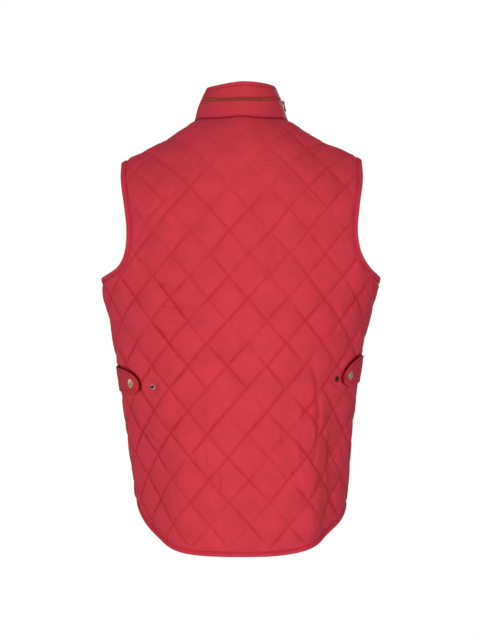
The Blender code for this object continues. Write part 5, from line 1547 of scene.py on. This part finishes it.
def softened(node, body):
    """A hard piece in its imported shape, with its edges rounded."""
    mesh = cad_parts[node].data.copy()
    mesh.materials.clear()
    mesh.materials.append(METAL_DARK)
    piece = linked(node + "_metal", mesh)
    mesh.polygons.foreach_set("material_index", np.zeros(len(mesh.polygons), np.int32))
    weld = piece.modifiers.new("weld", "WELD")
    weld.merge_threshold = 0.01 * MM
    edges = piece.modifiers.new("bevel", "BEVEL")
    edges.width, edges.segments = METAL_BEVEL, 3
    edges.limit_method, edges.angle_limit = "ANGLE", math.radians(25)
    edges.use_clamp_overlap = True
    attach(piece, body)
    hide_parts(node)


# ---- Light, floor and camera ---------------------------------------------------------------------
WHITE, BLACK = (1.0, 1.0, 1.0, 1.0), (0.0, 0.0, 0.0, 1.0)
BACKDROP_RADIUS, BACKDROP_GLOW = 9.0, 1.02


def area_light(name, place, towards, size, power):
    light = bpy.data.lights.new(name, "AREA")
    light.shape, light.size, light.energy = "DISK", size, power
    lamp = linked(name, light)
    lamp.location = place
    lamp.rotation_mode = "QUATERNION"
    lamp.rotation_quaternion = (Vector(towards) - Vector(place)).to_track_quat("-Z", "Y")


def backdrop(round_about):
    """A white surround that lights nothing."""
    heights = np.linspace(-math.pi / 2 + 0.05, math.pi / 2 - 0.05, 25)[:, None]
    ball = np.cos(heights) * np.cos(round_about), np.cos(heights) * np.sin(round_about), np.sin(heights)
    points, faces = tube(BACKDROP_RADIUS * np.stack(np.broadcast_arrays(*ball), axis=-1))
    mesh = bpy.data.meshes.new("backdrop")
    mesh.from_pydata(points.tolist(), [], [list(map(int, face)) for group in faces for face in group])
    white = Nodes("backdrop")
    white.put(white.shader, "Base Color", BLACK)
    white.put(white.shader, "Specular IOR Level", 0.0)
    white.put(white.shader, "Emission Color", WHITE)
    white.put(white.shader, "Emission Strength", BACKDROP_GLOW)
    mesh.materials.append(white.material)
    surround = linked("backdrop", mesh)
    for kind in ("diffuse", "glossy", "transmission", "volume_scatter", "shadow"):
        setattr(surround, "visible_" + kind, False)


def floor(round_about):
    """A pale round floor that fades into the surround."""
    mesh = bpy.data.meshes.new("floor")
    rim = [(FLOOR_RADIUS * math.cos(a), FLOOR_RADIUS * math.sin(a), FLOOR_HEIGHT) for a in round_about]
    mesh.from_pydata(rim, [], [tuple(range(len(rim)))])
    pale = Nodes("floor")
    spot = pale.add("TexCoord").outputs["Object"]
    tone = pale.noise(spot, 3.0, 2.0)
    pale.put(pale.shader, "Base Color", pale.mix(tone, (0.78, 0.78, 0.78, 1), (0.84, 0.84, 0.84, 1)))
    pale.put(pale.shader, "Roughness", 0.9)
    flat = pale.add("VectorMath", {"operation": "MULTIPLY"}, {0: spot, 1: (1.0, 1.0, 0.0)}).outputs[0]
    out = pale.add("VectorMath", {"operation": "LENGTH"}, {0: flat}).outputs["Value"]
    glow = pale.add("Emission", {}, {"Color": WHITE, "Strength": 1.0}).outputs[0]
    faded = pale.ramp(out, 0.35 * FLOOR_RADIUS, 0.98 * FLOOR_RADIUS, 0.0, 1.0)
    fading = pale.add("MixShader", {}, {0: faded})
    pale.tree.links.new(pale.shader.outputs[0], fading.inputs[1])
    pale.tree.links.new(glow, fading.inputs[2])
    pale.tree.links.new(fading.outputs[0], pale.tree.nodes["Material Output"].inputs["Surface"])
    mesh.materials.append(pale.material)
    ground = linked("floor", mesh)
    ground.visible_diffuse = False


def studio():
    scene = bpy.context.scene
    scene.view_settings.view_transform = "Standard"
    scene.view_settings.look = "None"
    world = bpy.data.worlds.new("studio")
    world.use_nodes = True
    background = world.node_tree.nodes["Background"]
    background.inputs["Color"].default_value = WHITE
    background.inputs["Strength"].default_value = AMBIENT
    scene.world = world

    round_about = np.linspace(0, 2 * math.pi, 49)[:-1]
    backdrop(round_about)
    floor(round_about)
    middle = (0.0, 0.0, -0.36)
    area_light("key", (-0.35, 3.0, 0.15), middle, 1.4, 46.0)
    area_light("low", (0.45, 2.2, -1.30), (0.0, 0.0, -0.5), 0.55, 27.0)
    area_light("front", (-0.9, -3.0, 0.3), middle, 1.6, 56.0)
    area_light("side", (2.8, -1.2, 0.2), middle, 1.8, 22.0)

    camera = bpy.data.cameras.new("camera")
    camera.sensor_fit = "AUTO"
    camera.sensor_width = SENSOR
    camera.lens = FOCAL_PIXELS * SENSOR / FRAME_HEIGHT
    eye = linked("camera", camera)
    eye.location = CAMERA_PLACE
    eye.rotation_euler = (math.pi / 2, 0.0, math.pi)
    scene.camera = eye


# ---- The whole gilet -----------------------------------------------------------------------------


def dress():
    tabs = named_rows(TABS, TAB_COLUMNS)
    back, fronts = back_runs(), (front_runs(1), front_runs(-1))
    studs = [tab_place(tab, tab["length"] + tab["stud_past_tip"], 0.0)[0] for tab in tabs]
    quilted_panel("back", BACK, back, BACK_LAYER, [(stud, STUD_RADIUS + 1.5 * MM) for stud in studs])
    for node, runs, layer in zip(("front_left", "front_right"), fronts, FRONT_LAYERS):
        quilted_panel(node, FRONT, runs, layer)
    edge_thread(fronts)
    armhole_binding("left", back, fronts[0], 1)
    armhole_binding("right", back, fronts[1], -1)
    hem_binding(back, *fronts)
    collar()
    front_zip()
    collar_zip()
    for number, tab in enumerate(tabs):
        side_tab(tab, TAB_LAYER + number)
        press_studs(tab)
    softened("front_zip_slider", "garment")
    softened("collar_zip_slider", "garment")
    softened("front_zip_pull", "front_pull")
    softened("collar_zip_pull", "collar_pull")


dress()
studio()
